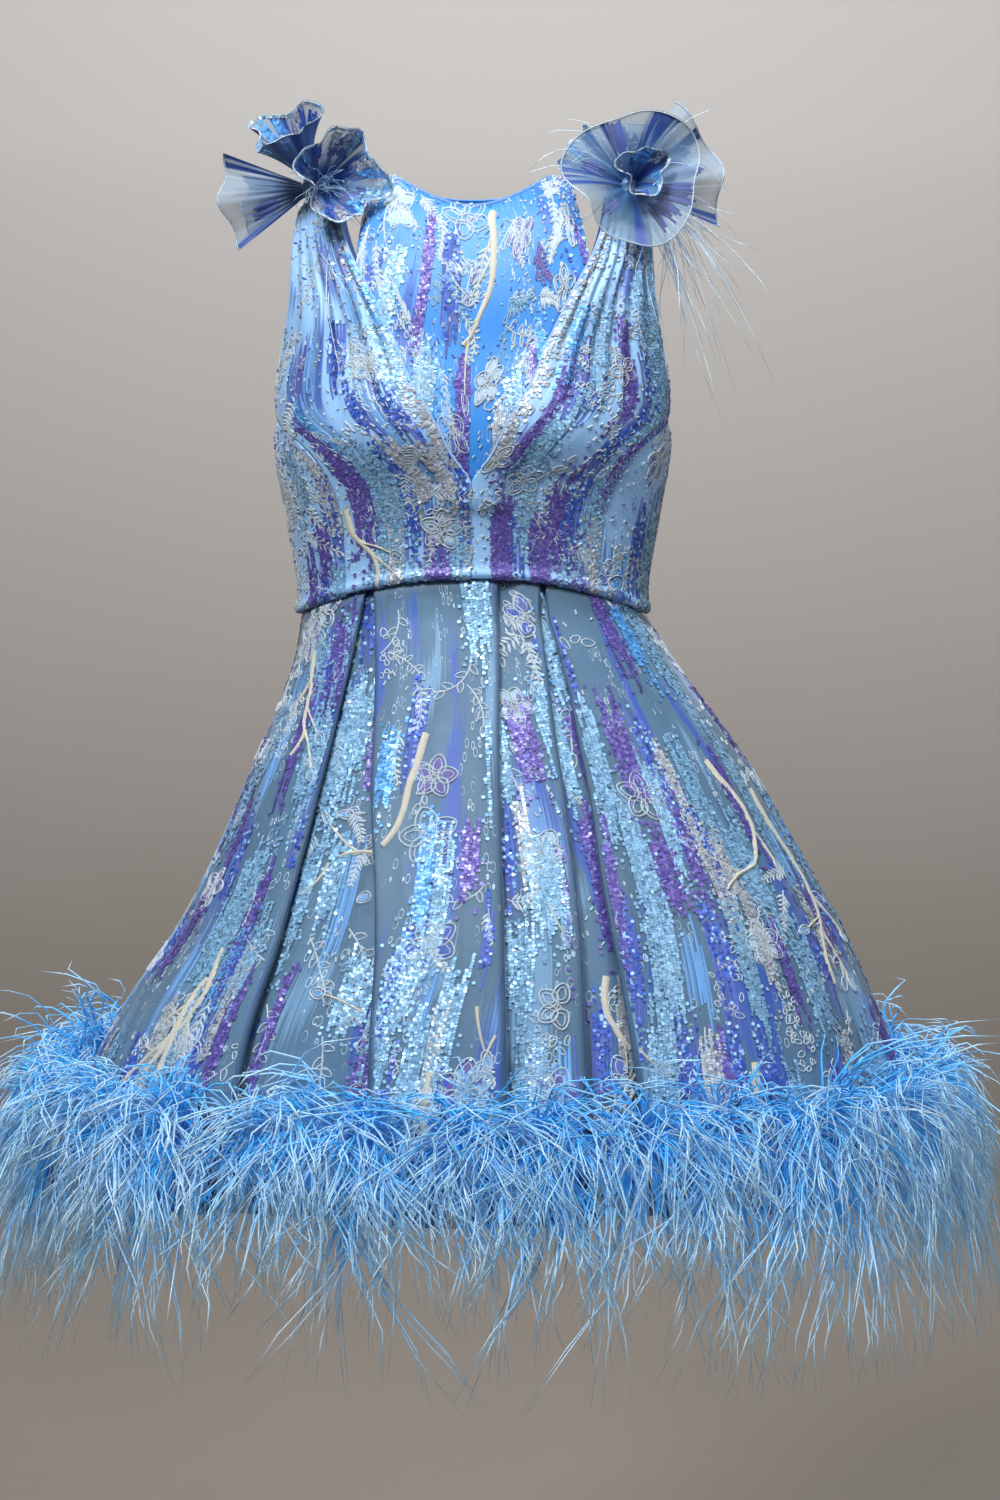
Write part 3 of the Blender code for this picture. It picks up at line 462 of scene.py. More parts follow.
def feather_finish():
    # The feathers glow faintly in their own colour: painted light that stands in for light passing through
    # the barbs.
    made = Finish("feather", {"Roughness": 0.55, "Emission Strength": 0.14})
    patchy = made.grain(60.0)
    fine = made.grain(900.0, 5.0)
    deep = made.mix(((patchy - 0.35) * 1.6).within(), made.node("HueSaturation", {}, {
        "Saturation": 1.12, "Value": 0.72, "Color": made.stored("tint", 0),
    }), made.stored("tint", 0))
    shade = made.mix(fine * 0.10, deep, ICE)
    made.set("Base Color", shade)
    made.set("Emission Color", shade)
    return made.material


SATIN = satin("embroidered satin", PERIWINKLE, 0.56)
YOKE_SATIN = satin("sky satin", SATIN_BLUE, 0.64)
ORGANZA = organza("embroidered organza", SLATE, 0.60, 0.57, 0.50)
LINING = plain_satin("lining satin", LINING_BLUE, 0.42)
TAPE = plain_satin("feather tape", SATIN_BLUE, 0.6)
SHEER_PETAL = petal_organza("sheer bow organza", SMOKE_BLUE, 0.46, 0.56)
STREAKED_PETAL = petal_organza("streaked bow organza", STREAKED_BLUE, 0.55, 0.49)
SEQUINS = sequin_finish()
THREAD = thread_finish()
FEATHER = feather_finish()


# Cloth grids

NEAR_ZERO = 1e-9


def added(name, data):
    """A new object of the scene."""
    obj = bpy.data.objects.new(name, data)
    bpy.context.scene.collection.objects.link(obj)
    return obj


def piece_of(mesh, material):
    """A piece of the dress, with its mesh's name."""
    mesh.materials.append(material)
    mesh.shade_smooth()
    obj = added(mesh.name, mesh)
    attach(obj, "root")
    return obj


def unit(vectors):
    return vectors / np.maximum(np.linalg.norm(vectors, axis=-1, keepdims=True), NEAR_ZERO)


def along_rows(steps):
    """How far each point of a row lies along it, from the steps between them."""
    return np.pad(np.cumsum(steps, axis=1), ((0, 0), (1, 0)))


class Cloth:
    """A piece of cloth as a grid of places. Rows run down it, and columns across it to the viewer's right."""

    def __init__(self, rows, seen=None):
        self.points = p = np.array([[tuple(place) for place in row] for row in rows])
        self.seen = np.ones(p.shape[1]) if seen is None else np.array(seen, dtype=float)
        self.normals = unit(np.cross(np.gradient(p, axis=0), np.gradient(p, axis=1)))
        steps = np.linalg.norm(np.diff(p, axis=1), axis=2)
        self.widths = steps.sum(axis=1)
        self.arcs = along_rows(steps) / np.maximum(self.widths, NEAR_ZERO)[:, None]
        drops = np.linalg.norm(np.diff(p, axis=0), axis=2)
        self.lengths = drops.sum(axis=0)
        drops = drops.mean(axis=1)
        self.length = float(drops.sum())
        self.down = np.concatenate([[0.0], np.cumsum(drops) / self.length])
        cells = np.cross(p[1:, 1:] - p[:-1, :-1], p[1:, :-1] - p[:-1, 1:])
        self.area = float(np.linalg.norm(cells, axis=2).sum() / 2)

    def cells(self, u, v):
        count_down, count_across = self.points.shape[:2]
        row = np.interp(v, self.down, np.arange(count_down))
        i = np.minimum(row.astype(int), count_down - 2)
        a = (row - i)[:, None]
        arcs = self.arcs[i] * (1 - a) + self.arcs[i + 1] * a
        j = np.clip((arcs <= u[:, None]).sum(axis=1) - 1, 0, count_across - 2)
        k = np.arange(len(u))
        b = (u - arcs[k, j]) / np.maximum(arcs[k, j + 1] - arcs[k, j], NEAR_ZERO)
        return i, j, a, np.clip(b, 0, 1)[:, None]

    def at(self, u, v):
        """Places and normals at shares u across and v down the cloth, and how far each is seen."""
        i, j, a, b = self.cells(u, v)

        def blend(grid):
            return (grid[i, j] * (1 - b) + grid[i, j + 1] * b) * (1 - a) + (
                grid[i + 1, j] * (1 - b) + grid[i + 1, j + 1] * b) * a

        inside = (u >= 0) & (u <= 1) & (v >= 0) & (v <= 1)
        seen = np.minimum(self.seen[j], self.seen[j + 1]) * inside
        return blend(self.points), unit(blend(self.normals)), seen

    def width_at(self, v):
        return np.interp(v, self.down, self.widths)

    def length_at(self, u):
        return np.interp(u, np.linspace(0.0, 1.0, len(self.lengths)), self.lengths)

    def frames(self, u, v):
        """Places with their directions to the right, down and out, and how far each is seen."""
        places, outs, seen = self.at(u, v)
        ahead = self.at(np.clip(u + 0.002, 0, 1), v)[0] - self.at(np.clip(u - 0.002, 0, 1), v)[0]
        rights = unit(ahead - outs * (ahead * outs).sum(axis=1, keepdims=True))
        return places, rights, np.cross(rights, outs), outs, seen

    def mesh(self, name, material, ring):
        count_down, count_across = self.points.shape[:2]
        bm = bmesh.new()
        uv = bm.loops.layers.uv.new("UVMap")
        down = bm.verts.layers.float.new("down")
        layered = bm.verts.layers.float.new("layered")
        bmesh.ops.create_grid(bm, x_segments=count_across - 1, y_segments=count_down - 1, size=0.5)
        width = float(self.widths.max())
        flat = {}
        for vert in bm.verts:
            column = round((vert.co.x + 0.5) * (count_across - 1))
            row = round((0.5 - vert.co.y) * (count_down - 1))
            vert.co = self.points[row, column]
            vert[down] = self.down[row]
            # Columns hidden in a fold: the organza is more opaque there and is painted darker as shade in the
            # crease.
            vert[layered] = 1.0 - self.seen[column]
            flat[vert] = (self.arcs[row, column] * width, -self.down[row] * self.length)
        for face in bm.faces:
            for loop in face.loops:
                loop[uv].uv = flat[loop.vert]
        if ring:
            bmesh.ops.remove_doubles(bm, verts=bm.verts, dist=1e-5)
        mesh = bpy.data.meshes.new(name)
        bm.to_mesh(mesh)
        bm.free()
        return piece_of(mesh, material)


def joined(name, slot, material, points, faces, tints, marks=None):
    """One piece of many small shapes, from arrays of points, faces, and each point's colour and map place."""
    mesh = bpy.data.meshes.new(name)
    mesh.vertices.add(len(points))
    mesh.vertices.foreach_set("co", points.astype(np.float32).ravel())
    mesh.loops.add(faces.size)
    mesh.loops.foreach_set("vertex_index", faces.astype(np.int32).ravel())
    mesh.polygons.add(len(faces))
    mesh.polygons.foreach_set("loop_start", np.arange(0, faces.size, faces.shape[1], dtype=np.int32))
    mesh.update(calc_edges=True)
    colours = np.ones((len(points), 4), dtype=np.float32)
    colours[:, :3] = tints
    tint = mesh.color_attributes.new("tint", "FLOAT_COLOR", "POINT")
    tint.data.foreach_set("color", colours.ravel())
    if marks is not None:
        uv = mesh.uv_layers.new(name="UVMap")
        uv.data.foreach_set("uv", marks[faces.ravel()].astype(np.float32).ravel())
    obj = piece_of(mesh, material)
    return obj


def sewn(cloth, name, material, node, wall=None, layers=1, ring=False):
    """Makes a cloth and its thickness inwards, and hides the part that it stands for."""
    obj = cloth.mesh(name, material, ring)
    if wall:
        solidify = obj.modifiers.new("wall", "SOLIDIFY")
        solidify.thickness = wall
        solidify.offset = -1.0
    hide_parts(node)
    width, length = round(float(cloth.widths.max()) / layers, 4), round(cloth.length, 4)
    round(min(cloth.area / layers, width * length), 6)


# The body under the bodice

STEEPEST = 89.88
RIDGE = 0.0003
ROLL_HEIGHT = 0.0035
UNDERARM_FADE = 0.03
LIFT_FADE = 0.014


def crown(across):
    return smooth_table(CROWN, abs(across))[0]


def torso_depth(across, z, facing):
    """How far the body reaches forwards (facing -1) or backwards (facing 1) at a place across it."""
    half_width, front, back = smooth_table(TORSO, min(z, CHEST_Z))
    side = min(abs(across) / half_width, 1.0) ** ROUNDNESS
    reach = (front if facing < 0 else back) * (1 - side) ** (1 / ROUNDNESS)
    if facing < 0:
        tall = BUST["above"] if z > BUST["height"] else BUST["below"]
        away = ((abs(across) - BUST["across"]) / BUST["width"]) ** 2 + ((z - BUST["height"]) / tall) ** 2
        reach += BUST["rise"] * math.exp(-away) * min(1.0, 3 * (1 - side))
    if z > CHEST_Z:
        up = min((z - CHEST_Z) / (crown(across) - CHEST_Z), 1.0)
        reach *= math.sqrt(1 - up * up)
    return reach


def at_height(across, z, facing):
    return Vector((across, facing * torso_depth(across, z, facing), z))


def on_body(across, up, facing):
    """A point on the body, measured up over it from the chest line."""
    if up <= 0:
        return at_height(across, CHEST_Z + up, facing)
    turn = math.radians(min(up / SHOULDER_ARC * 90.0, STEEPEST))
    return at_height(across, CHEST_Z + (crown(across) - CHEST_Z) * math.sin(turn), facing)


def body_normal(point, facing):
    step = 0.0008
    x, z = point.x, point.z
    limit = smooth_table(TORSO, min(z, CHEST_Z))[0] - 2.5 * step
    x = math.copysign(min(abs(x), limit), x)
    if z > CHEST_Z:
        z = min(z, crown(x) - 1.5 * step)
    wide = (torso_depth(x + step, z, facing) - torso_depth(x - step, z, facing)) / (2 * step)
    tall = (torso_depth(x, z + step, facing) - torso_depth(x, z - step, facing)) / (2 * step)
    normal = Vector((-wide, facing, -tall)).normalized()
    if crown(point.x) - point.z < RIDGE:
        normal.y = 0.0
        normal.normalize()
    return normal


def turn_at(across, half_width):
    """How far round the body a place across it is, from the middle, and the other way about."""
    return math.asin(min(abs(across) / half_width, 1.0) ** (ROUNDNESS / 2))


def across_at(turn, half_width):
    return half_width * math.sin(turn) ** (2 / ROUNDNESS)


def torso_angle(across, facing):
    turn = turn_at(across, smooth_table(TORSO, WAIST_SIDE_Z)[0])
    return turn if facing < 0 else math.pi - turn


def waist_z(angle):
    """The bodice's lower edge, arched up at the centre front; angle is from the centre front."""
    return WAIST_SIDE_Z + WAIST_ARCH * max(math.cos(angle), 0.0) ** 2


def waist_roll(point, facing):
    above = point.z - waist_z(torso_angle(point.x, facing))
    return WAIST_ROLL * math.exp(-((above - ROLL_HEIGHT) / ROLL_HEIGHT) ** 2)


def underarm_dip(z):
    return UNDERARM_DIP * ease((z - UNDERARM_Z + UNDERARM_FADE) / UNDERARM_FADE)


def up_of(point):
    """How far up over the body from the chest line a point of it lies."""
    if point.z <= CHEST_Z:
        return point.z - CHEST_Z
    share = min((point.z - CHEST_Z) / (crown(point.x) - CHEST_Z), 1.0)
    return SHOULDER_ARC * math.degrees(math.asin(share)) / 90.0


def cup_lift(point):
    """How far the cup panel stands off the body, where it lies on the yoke."""
    edge = smooth_table(CUP_EDGES, max(up_of(point), V_POINT_Z - CHEST_Z))[0]
    beside = 1 - ease((abs(point.x) - edge - YOKE_UNDERLAP - 0.005) / 0.016)
    below = 1 - ease((V_POINT_Z - LIFT_FADE - point.z) / LIFT_FADE)
    return (BODICE_WALL + YOKE_CLEAR) * beside * below


# Bodice

CUP_COLUMNS, CUP_ROWS = 49, 76
SIDE_COLUMNS, SIDE_ROWS = 25, 26
BACK_COLUMNS, BACK_ROWS = 41, 30
WAIST_SHARES = (0.30, 0.55, 0.70, 0.80, 0.88, 0.94, 0.98, 1.0)
GATHERS = 6.5
GATHER_DEPTH = 0.0034
BODICE_SHELL = 0.0012
UNDER_IN, UNDER_DOWN = 0.0026, 0.0006
BACK_WAIST = 0.045
BACK_EASE = 0.11


def gather(share, place):
    """Folds that run down from the shoulder knot and fade out over the bust. No two are alike."""
    strength = ease((place.z + 0.205) / 0.130)
    folds = math.sin(2 * math.pi * (GATHERS * share + 0.22 * math.sin(5.3 * share + 14 * place.z)))
    finer = 0.35 * math.sin(2 * math.pi * (2.3 * GATHERS * share + 0.4 + 4 * place.z))
    return GATHER_DEPTH * strength * (0.5 + 0.5 * (folds + finer) / 1.35)


def turned_under(rows, facing):
    """Adds the hem allowance that turns under at the waist."""
    last = rows[-1]
    rows.append([p - body_normal(p, facing) * UNDER_IN - Vector((0, 0, UNDER_DOWN)) for p in last])
    return rows


def cup_points():
    """The cup's places from the shoulder down, from its edge on the V out to the princess seam."""
    shares = spread(0.0, 1.0, CUP_COLUMNS)
    body = []
    for up in spread(SHOULDER_ARC - 0.0002, CUP_EDGES[0][0], CUP_ROWS):
        inner, outer = smooth_table(CUP_EDGES, up)
        inner = max(inner, SEAM / 2)
        body.append([on_body(inner + (outer - inner) * s, up, -1) for s in shares])
    lowest = CHEST_Z + CUP_EDGES[0][0]
    for share in WAIST_SHARES:
        outer = between((CUP_EDGES[0][2], PRINCESS_AT_WAIST), share)
        row = []
        for x in spread(SEAM / 2, outer, CUP_COLUMNS):
            row.append(at_height(x, between((lowest, waist_z(torso_angle(x, -1))), share), -1))
        body.append(row)

    def raised(place, share):
        stand = cup_lift(place) + BODICE_WALL + waist_roll(place, -1) + gather(share, place)
        return place + body_normal(place, -1) * stand

    return turned_under([[raised(p, s) for p, s in zip(row, shares)] for row in body], -1)


def side_points():
    """The side front's places from the underarm down, from the princess seam round to the side seam."""
    lowest = CHEST_Z + CUP_EDGES[0][0]
    heights = [(z, 0.0) for z in spread(UNDERARM_Z, lowest, SIDE_ROWS)]
    rows = []
    for z, to_waist in heights + [(lowest, s) for s in WAIST_SHARES]:
        outer = smooth_table(CUP_EDGES, z - CHEST_Z)[1]
        first = between((outer, PRINCESS_AT_WAIST), to_waist) + SEAM
        start = turn_at(first, smooth_table(TORSO, z)[0])
        seam_turn = torso_angle(first, -1)
        dip = underarm_dip(z)
        row = []
        for s in spread(0.0, 1.0, SIDE_COLUMNS):
            turn = start + (math.pi / 2 - start) * s
            edge = waist_z(seam_turn + (math.pi / 2 - seam_turn) * s)
            height = between((z - dip * ease(s), edge), to_waist)
            half = smooth_table(TORSO, height)[0]
            place = at_height(across_at(turn, half), height, -1)
            stand = cup_lift(place) + BODICE_WALL + waist_roll(place, -1)
            if s == 1:
                row.append(Vector((half + stand, -SEAM / 2, height)))
            else:
                row.append(place + body_normal(place, -1) * stand)
        rows.append(row)
    return turned_under(rows, -1)


def back_points():
    """The back's places from the shoulder down, from the centre back out to the side seam."""
    shares = spread(0.0, 1.0, BACK_COLUMNS)
    body = []
    for up in spread(SHOULDER_ARC - 0.0002, BACK_EDGES[0][0], BACK_ROWS):
        inner, outer = smooth_table(BACK_EDGES, up)
        bunched = 1 - ease((up - BACK_EDGES[0][0]) / BACK_EASE)
        row = []
        for s in shares:
            x = inner + (outer - inner) * between((s, across_at(math.pi / 2 * s, 1.0)), bunched)
            row.append(on_body(max(x, SEAM / 2), up, 1))
        body.append(row)
    lowest = WAIST_SIDE_Z + BACK_WAIST
    to_waist = [between((lowest, WAIST_SIDE_Z), s) for s in WAIST_SHARES]
    for z in spread(UNDERARM_Z, lowest, SIDE_ROWS) + to_waist:
        row = []
        for s in shares:
            height = z - underarm_dip(z) * ease(s * 3 - 2)
            half = smooth_table(TORSO, height)[0]
            x = across_at(math.pi / 2 * s, half)
            row.append(at_height(min(max(x, SEAM / 2), half), height, 1))
        body.append(row)
    rows = []
    for row in body:
        line = [p + body_normal(p, 1) * (BODICE_WALL + waist_roll(p, 1)) for p in row]
        if row[-1].z < UNDERARM_Z + 0.001:
            half = smooth_table(TORSO, row[-1].z)[0]
            line[-1] = Vector((half + BODICE_WALL + waist_roll(row[-1], 1), SEAM / 2, row[-1].z))
        rows.append(line)
    return turned_under(rows, 1)


def panel_cloth(rows, facing, mirror):
    """The cloth of a bodice panel, its columns in order to the right."""
    rows = [[Vector((p.x * mirror, p.y, p.z)) for p in row] for row in rows]
    if mirror * facing > 0:
        rows = [row[::-1] for row in rows]
    return Cloth(rows)


MIRRORS = {"left": 1, "right": -1}
PANELS = (("front_cup", cup_points(), -1), ("side_front", side_points(), -1), ("back", back_points(), 1))
BODICE = {}
for side_name, mirror in MIRRORS.items():
    for panel, rows, facing in PANELS:
        node = f"{panel}_{side_name}"
        BODICE[node] = panel_cloth(rows, facing, mirror)
        sewn(BODICE[node], f"{node}.satin", SATIN, node, wall=BODICE_SHELL)


# Yoke and neck band

YOKE_COLUMNS, YOKE_ROWS = 73, 22


def neck_up(across):
    """Where the round neckline crosses the body at a place across it."""
    forward = math.sqrt(max(NECK_R**2 - across**2, 0.0))
    share = min(forward / torso_depth(across, CHEST_Z, -1), 1.0)
    return min(math.degrees(math.acos(share)), STEEPEST) / 90.0 * SHOULDER_ARC


def yoke_place(share, turn):
    """A place from the neck down to the yoke's edge and, with turn from -1 to 1, round it."""
    shoulder, point = YOKE_EDGE[-1][0], YOKE_EDGE[0][0]
    along = 1 - abs(turn)
    neck_across = NECK_R * math.sin(math.pi / 2 * (1 - along ** YOKE_SPREAD["neck"]))
    up = shoulder + (point - shoulder) * along ** YOKE_SPREAD["edge"]
    across = neck_across + (smooth_table(YOKE_EDGE, up)[0] - neck_across) * share
    height = neck_up(neck_across) + (up - neck_up(neck_across)) * share
    place = on_body(math.copysign(across, turn), height, -1)
    return place + body_normal(place, -1) * BODICE_WALL


def band_place(rim, angle):
    """A place on the neck band, out to its rim and round the back of the neck."""
    share = math.sin(angle)
    radius = NECK_R + (YOKE_EDGE[-1][1] - NECK_R) * rim
    z = between(BAND_HEIGHTS, share) - rim * between(BAND_SLOPE, share) + BODICE_WALL
    return Vector((radius * math.cos(angle), max(radius * share, SEAM / 2), z))


YOKE = Cloth(grid(yoke_place, spread(0.0, 1.0, YOKE_ROWS), spread(-1.0, 1.0, YOKE_COLUMNS)))
sewn(YOKE, "yoke_front.satin", YOKE_SATIN, "yoke_front", wall=BODICE_SHELL)
BAND = Cloth(grid(band_place, spread(0.0, 1.0, 6), spread(math.pi, 0.0, 41)[::-1]))
sewn(BAND, "neck_band_back.satin", YOKE_SATIN, "neck_band_back", wall=BODICE_SHELL)


# Skirt

SKIRT_ROWS = 64
MAIN_STEPS = (30, 14, 36)
WRINKLE = 0.0022
TUCKED_ROWS = (-TUCK, -TUCK / 2, 0.0015)
HEM_RADIUS = 0.30
SWAY = 0.0030
SWAYS = 14
LINING_SHELL = 0.0006


def skirt_share(z):
    return min(max((WAIST_SIDE_Z - z) / (WAIST_SIDE_Z - HEM_Z), 0.0), 1.0)


def outline(degrees, z, drop, tucked=False):
    """A point on the skirt's outline, drop metres inside it. Tucked cloth follows the bodice's inside."""
    left, right, front, back = smooth_table(SKIRT, z)
    power = 2 / between((ROUNDNESS, SKIRT_ROUNDNESS), ease(skirt_share(z) / 0.25))
    if tucked:
        left, front, back = (size - TUCK_CLEAR for size in smooth_table(TORSO, z))
        right, power = left, 2 / ROUNDNESS

    def plain(a):
        sine, cosine = math.sin(math.radians(a)), math.cos(math.radians(a))
        x = (right if sine > 0 else left) * math.copysign(abs(sine) ** power, sine)
        y = -(front if cosine > 0 else back) * math.copysign(abs(cosine) ** power, cosine)
        wave = HEM_WAVE * skirt_share(z) ** 2 * math.sin(math.radians(a) * HEM_WAVES + 0.8)
        return Vector((x, y, 0)) * (1 + wave / HEM_RADIUS)

    chord = plain(degrees + 0.35) - plain(degrees - 0.35)
    inwards = Vector((-chord.y, chord.x, 0)).normalized()
    place = plain(degrees) + inwards * drop
    return Vector((place.x, place.y, z))


ARC = tuple((math.sin(math.pi * k / 6), (1 - math.cos(math.pi * k / 6)) / 2) for k in range(7))


def fold(angle, way, layer, tip):
    """Places round a fold from one layer to the next, whose tip points the given way."""
    return [(angle + way * tip * out, layer + down, 0.0) for out, down in ARC]


def run(first, last, count, layer, seen=0.0):
    """Flat cloth between two angles, ends left out."""
    return [(a, layer, seen) for a in spread(first, last, count + 2)[1:-1]]


def inverted_pleat(edge, crease, turn, tip):
    """From the top fold at edge, under it, and out to the facing fold at crease."""
    way = 1 if edge > crease else -1
    path = fold(edge, -way, 0, tip)
    path += run(edge, edge + way * turn, 1, 1)
    path += fold(edge + way * turn, way, 1, tip)
    path += run(edge + way * turn, edge, 1, 2)
    path += [(edge, 2, 1.0)] + run(edge, crease, 9, 2, 1.0) + [(crease, 2, 1.0)]
    path += run(crease, crease - way * turn, 1, 2)
    path += [(a, 3 - layer, seen) for a, layer, seen in fold(crease - way * turn, -way, 1, tip)]
    path += run(crease - way * turn, crease, 1, 1)
    path += [(a, 1 - layer, seen) for a, layer, seen in fold(crease, way, 0, tip)]
    return path


def pleat_size(z):
    return between(PLEAT_TURN, skirt_share(z)), between(FOLD_ROUND, skirt_share(z))


def front_path(z):
    folds = smooth_table(FRONT_FOLDS, z)
    left_edge, left_crease, centre_crease, centre_edge, right_crease, right_edge = folds
    turn, tip = pleat_size(z)
    calm = right_crease - turn - 3 * tip
    path = [(a, 0, 1.0) for a in spread(-90.0, -left_edge - 0.3, MAIN_STEPS[0])]
    path += [(-a, layer, seen) for a, layer, seen in inverted_pleat(left_edge, left_crease, turn, tip)]
    path += run(-left_crease, centre_edge, MAIN_STEPS[1] + 12, 0, 1.0)
    path += fold(centre_edge, 1, 0, tip)
    path += run(centre_edge, centre_crease, 2, 1)
    path += fold(centre_crease, -1, 1, tip)
    path += run(centre_crease, centre_edge, 2, 2) + [(centre_edge, 2, 1.0)]
    path += [(a, 2 - 2 * ease((a - centre_edge) / (calm - centre_edge)), 1.0)
             for a in spread(centre_edge, calm, MAIN_STEPS[1])[1:]]
    path += run(calm, right_crease, 5, 0, 1.0)
    path += list(reversed(inverted_pleat(right_edge, right_crease, turn, tip)))
    path += [(a, 0, 1.0) for a in spread(right_edge + 0.3, 90.0, MAIN_STEPS[2])]
    return path


def back_path(z):
    """From the side seam, at 90 degrees, to the centre back, at 180."""
    edge, crease = smooth_table(BACK_FOLDS, z)
    turn, tip = pleat_size(z)
    path = [(a, 0, 1.0) for a in spread(90.0, 180.0 - edge - 0.3, MAIN_STEPS[0])]
    path += [(180.0 - a, layer, seen) for a, layer, seen in inverted_pleat(edge, crease, turn, tip)]
    path += [(180.0 - a, 0, 1.0) for a in spread(crease, 0.0, MAIN_STEPS[1])[1:]]
    return path


def mirrored(path_at):
    return lambda z: [(-a, layer, seen) for a, layer, seen in reversed(path_at(z))]


def skirt_cloth(path_at, axes):
    """A skirt panel's cloth. axes says which coordinate is 0 along its first and its last column."""
    rows = []
    at_waist = path_at(WAIST_SIDE_Z)
    for below in (*TUCKED_ROWS, *(s**1.15 for s in spread(0.02, 1.0, SKIRT_ROWS))):
        tucked = below in TUCKED_ROWS
        row = []
        for j, (start, _, _) in enumerate(at_waist):
            edge = waist_z(math.radians(abs(start)))
            z = edge - below if tucked else edge + (HEM_Z - edge) * below
            angle, layer, _ = path_at(z)[j]
            share = skirt_share(z)
            ripple = WRINKLE * share * (
                math.sin(0.31 * angle + 3.0 * share) + 0.6 * math.sin(0.83 * angle - 5.0 * share + 2.0))
            drop = layer * between(PLEAT_LAYER, share) - ripple * (not tucked)
            row.append(outline(angle, z, drop, tucked))
        row[0][axes[0]] = 0.0
        row[-1][axes[1]] = 0.0
        rows.append(row)
    return Cloth(rows, [seen for _, _, seen in at_waist])


SKIRTS = {
    "skirt_front": skirt_cloth(front_path, (1, 1)),
    "skirt_back_left": skirt_cloth(back_path, (1, 0)),
    "skirt_back_right": skirt_cloth(mirrored(back_path), (0, 1)),
}
for node, cloth in SKIRTS.items():
    sewn(cloth, f"{node}.organza", ORGANZA, node)

# Rows of the lining that the bodice holds: metres below its top, and inside the outline
LINING_TUCK = ((-0.010, -0.0004), (-0.005, 0.0040), (0.002, LINING_DROP[0]))


def lining_place(level, degrees):
    """A place on the lining, in a tucked row or at a share of the way down."""
    top = waist_z(math.radians(abs(degrees))) + TUCK
    if level in LINING_TUCK:
        return outline(degrees, top - level[0], level[1], True)
    z = top + (LINING_HEM_Z - top) * level
    share = skirt_share(z)
    sway = SWAY * share * math.sin(math.radians(degrees) * SWAYS + 2 * share)
    return outline(degrees, z, between(LINING_DROP, share) + sway)


sewn(Cloth(grid(lining_place, (*LINING_TUCK, *spread(0.03, 1.0, 34)), spread(-180.0, 180.0, 133))),
     "skirt_lining.satin", LINING, "skirt_lining", wall=LINING_SHELL, ring=True)


# Shoulder bows

PETAL_ROWS, FUNNEL_COLUMNS, FAN_COLUMNS = 15, 97, 49
FUNNELS = (
    # bow, name, azimuth, elevation, half angle at the knot and the rim, length, ruffles, ruffle angle, pleats
    ("left", "rosette", 8, 10, 38, 58, 0.062, 3, 4.5, 11),
    ("left", "roll", 14, 12, 16, 25, 0.046, 3, 4.0, 9),
    ("right", "cup", -26, 4, 24, 33, 0.064, 4, 3.0, 13),
    ("right", "side_cup", 34, 46, 18, 24, 0.066, 3, 2.5, 11),
)
FANS = (
    # bow, name, first, middle, last, length, ruffles
    ("left", "tail", (112, 60), (104, 16), (106, -20), 0.080, 2.0),
    ("left", "back_loop", (-128, 44), (178, 66), (140, 52), 0.064, 1.5),
    ("left", "neck_petal", (-96, 56), (-100, 38), (-96, 21), 0.060, 1.0),
    ("right", "tail", (94, 21), (92, -8), (94, -38), 0.078, 1.5),
    ("right", "under_tail", (118, 12), (116, -8), (118, -28), 0.070, 1.0),
)
STREAKED = ("roll", "cup", "side_cup", "neck_petal")
GATHER_ANGLE = 1.3
RIM_FRILL, RIM_RIPPLE = 2.6, 1.9
RIM_UNEVEN = 0.08
FAN_RUFFLE, FAN_GATHER = 5.0, 1.2
FAN_SCALLOP = 0.035
KNOT_FOLD = 0.06


def direction(azimuth, elevation, mirror):
    a, e = math.radians(azimuth), math.radians(elevation)
    return Vector((mirror * math.sin(a) * math.cos(e), -math.cos(a) * math.cos(e), math.sin(e)))


def knot_centre(mirror):
    """The middle of a bow's knot, which sits on the gathers of its strap."""
    seat = on_body(KNOT_ACROSS, SHOULDER_ARC * KNOT_DEGREES / 90.0, -1)
    centre = seat + body_normal(seat, -1) * KNOT_STAND
    return Vector((centre.x * mirror, centre.y, centre.z))


def petal_cloth(mirror, columns, sight):
    """A petal from the knot out to its rim, right side to the front. sight gives a ray and a reach."""
    centre = knot_centre(mirror)

    def place(level, share):
        ray, reach = sight(share, level)
        return centre + ray * (PETAL_START + (reach - PETAL_START) * level)

    rows = grid(place, spread(0.0, 1.0, PETAL_ROWS), spread(0.0, 1.0, columns))
    cloth = Cloth(rows)
    return cloth if cloth.normals[..., 1].mean() < 0 else Cloth([row[::-1] for row in rows])


def funnel(mirror, azimuth, elevation, at_knot, at_rim, length, ruffles, ruffle_angle, pleats):
    axis = direction(azimuth, elevation, mirror)
    aside = axis.cross(Vector((0, 0, 1))).normalized()
    above = aside.cross(axis)

    def sight(share, level):
        turn = 2 * math.pi * share
        half = at_knot + (at_rim - at_knot) * level**0.7 + ruffle_angle * level * math.sin(ruffles * turn)
        half += GATHER_ANGLE * math.sin(pleats * turn + 0.8 * math.sin(3 * turn)) * (1.1 - level) ** 1.4
        half += RIM_FRILL * level**3 * math.sin((ruffles + 2) * turn + 0.7)
        half += RIM_RIPPLE * level**2 * math.sin((2 * ruffles + 1) * turn + 1.9)
        half = math.radians(half)
        ray = axis * math.cos(half) + (aside * math.cos(turn) + above * math.sin(turn)) * math.sin(half)
        return ray, length * (1 + RIM_UNEVEN * math.sin(ruffles * turn + 1.2))

    return petal_cloth(mirror, FUNNEL_COLUMNS, sight)


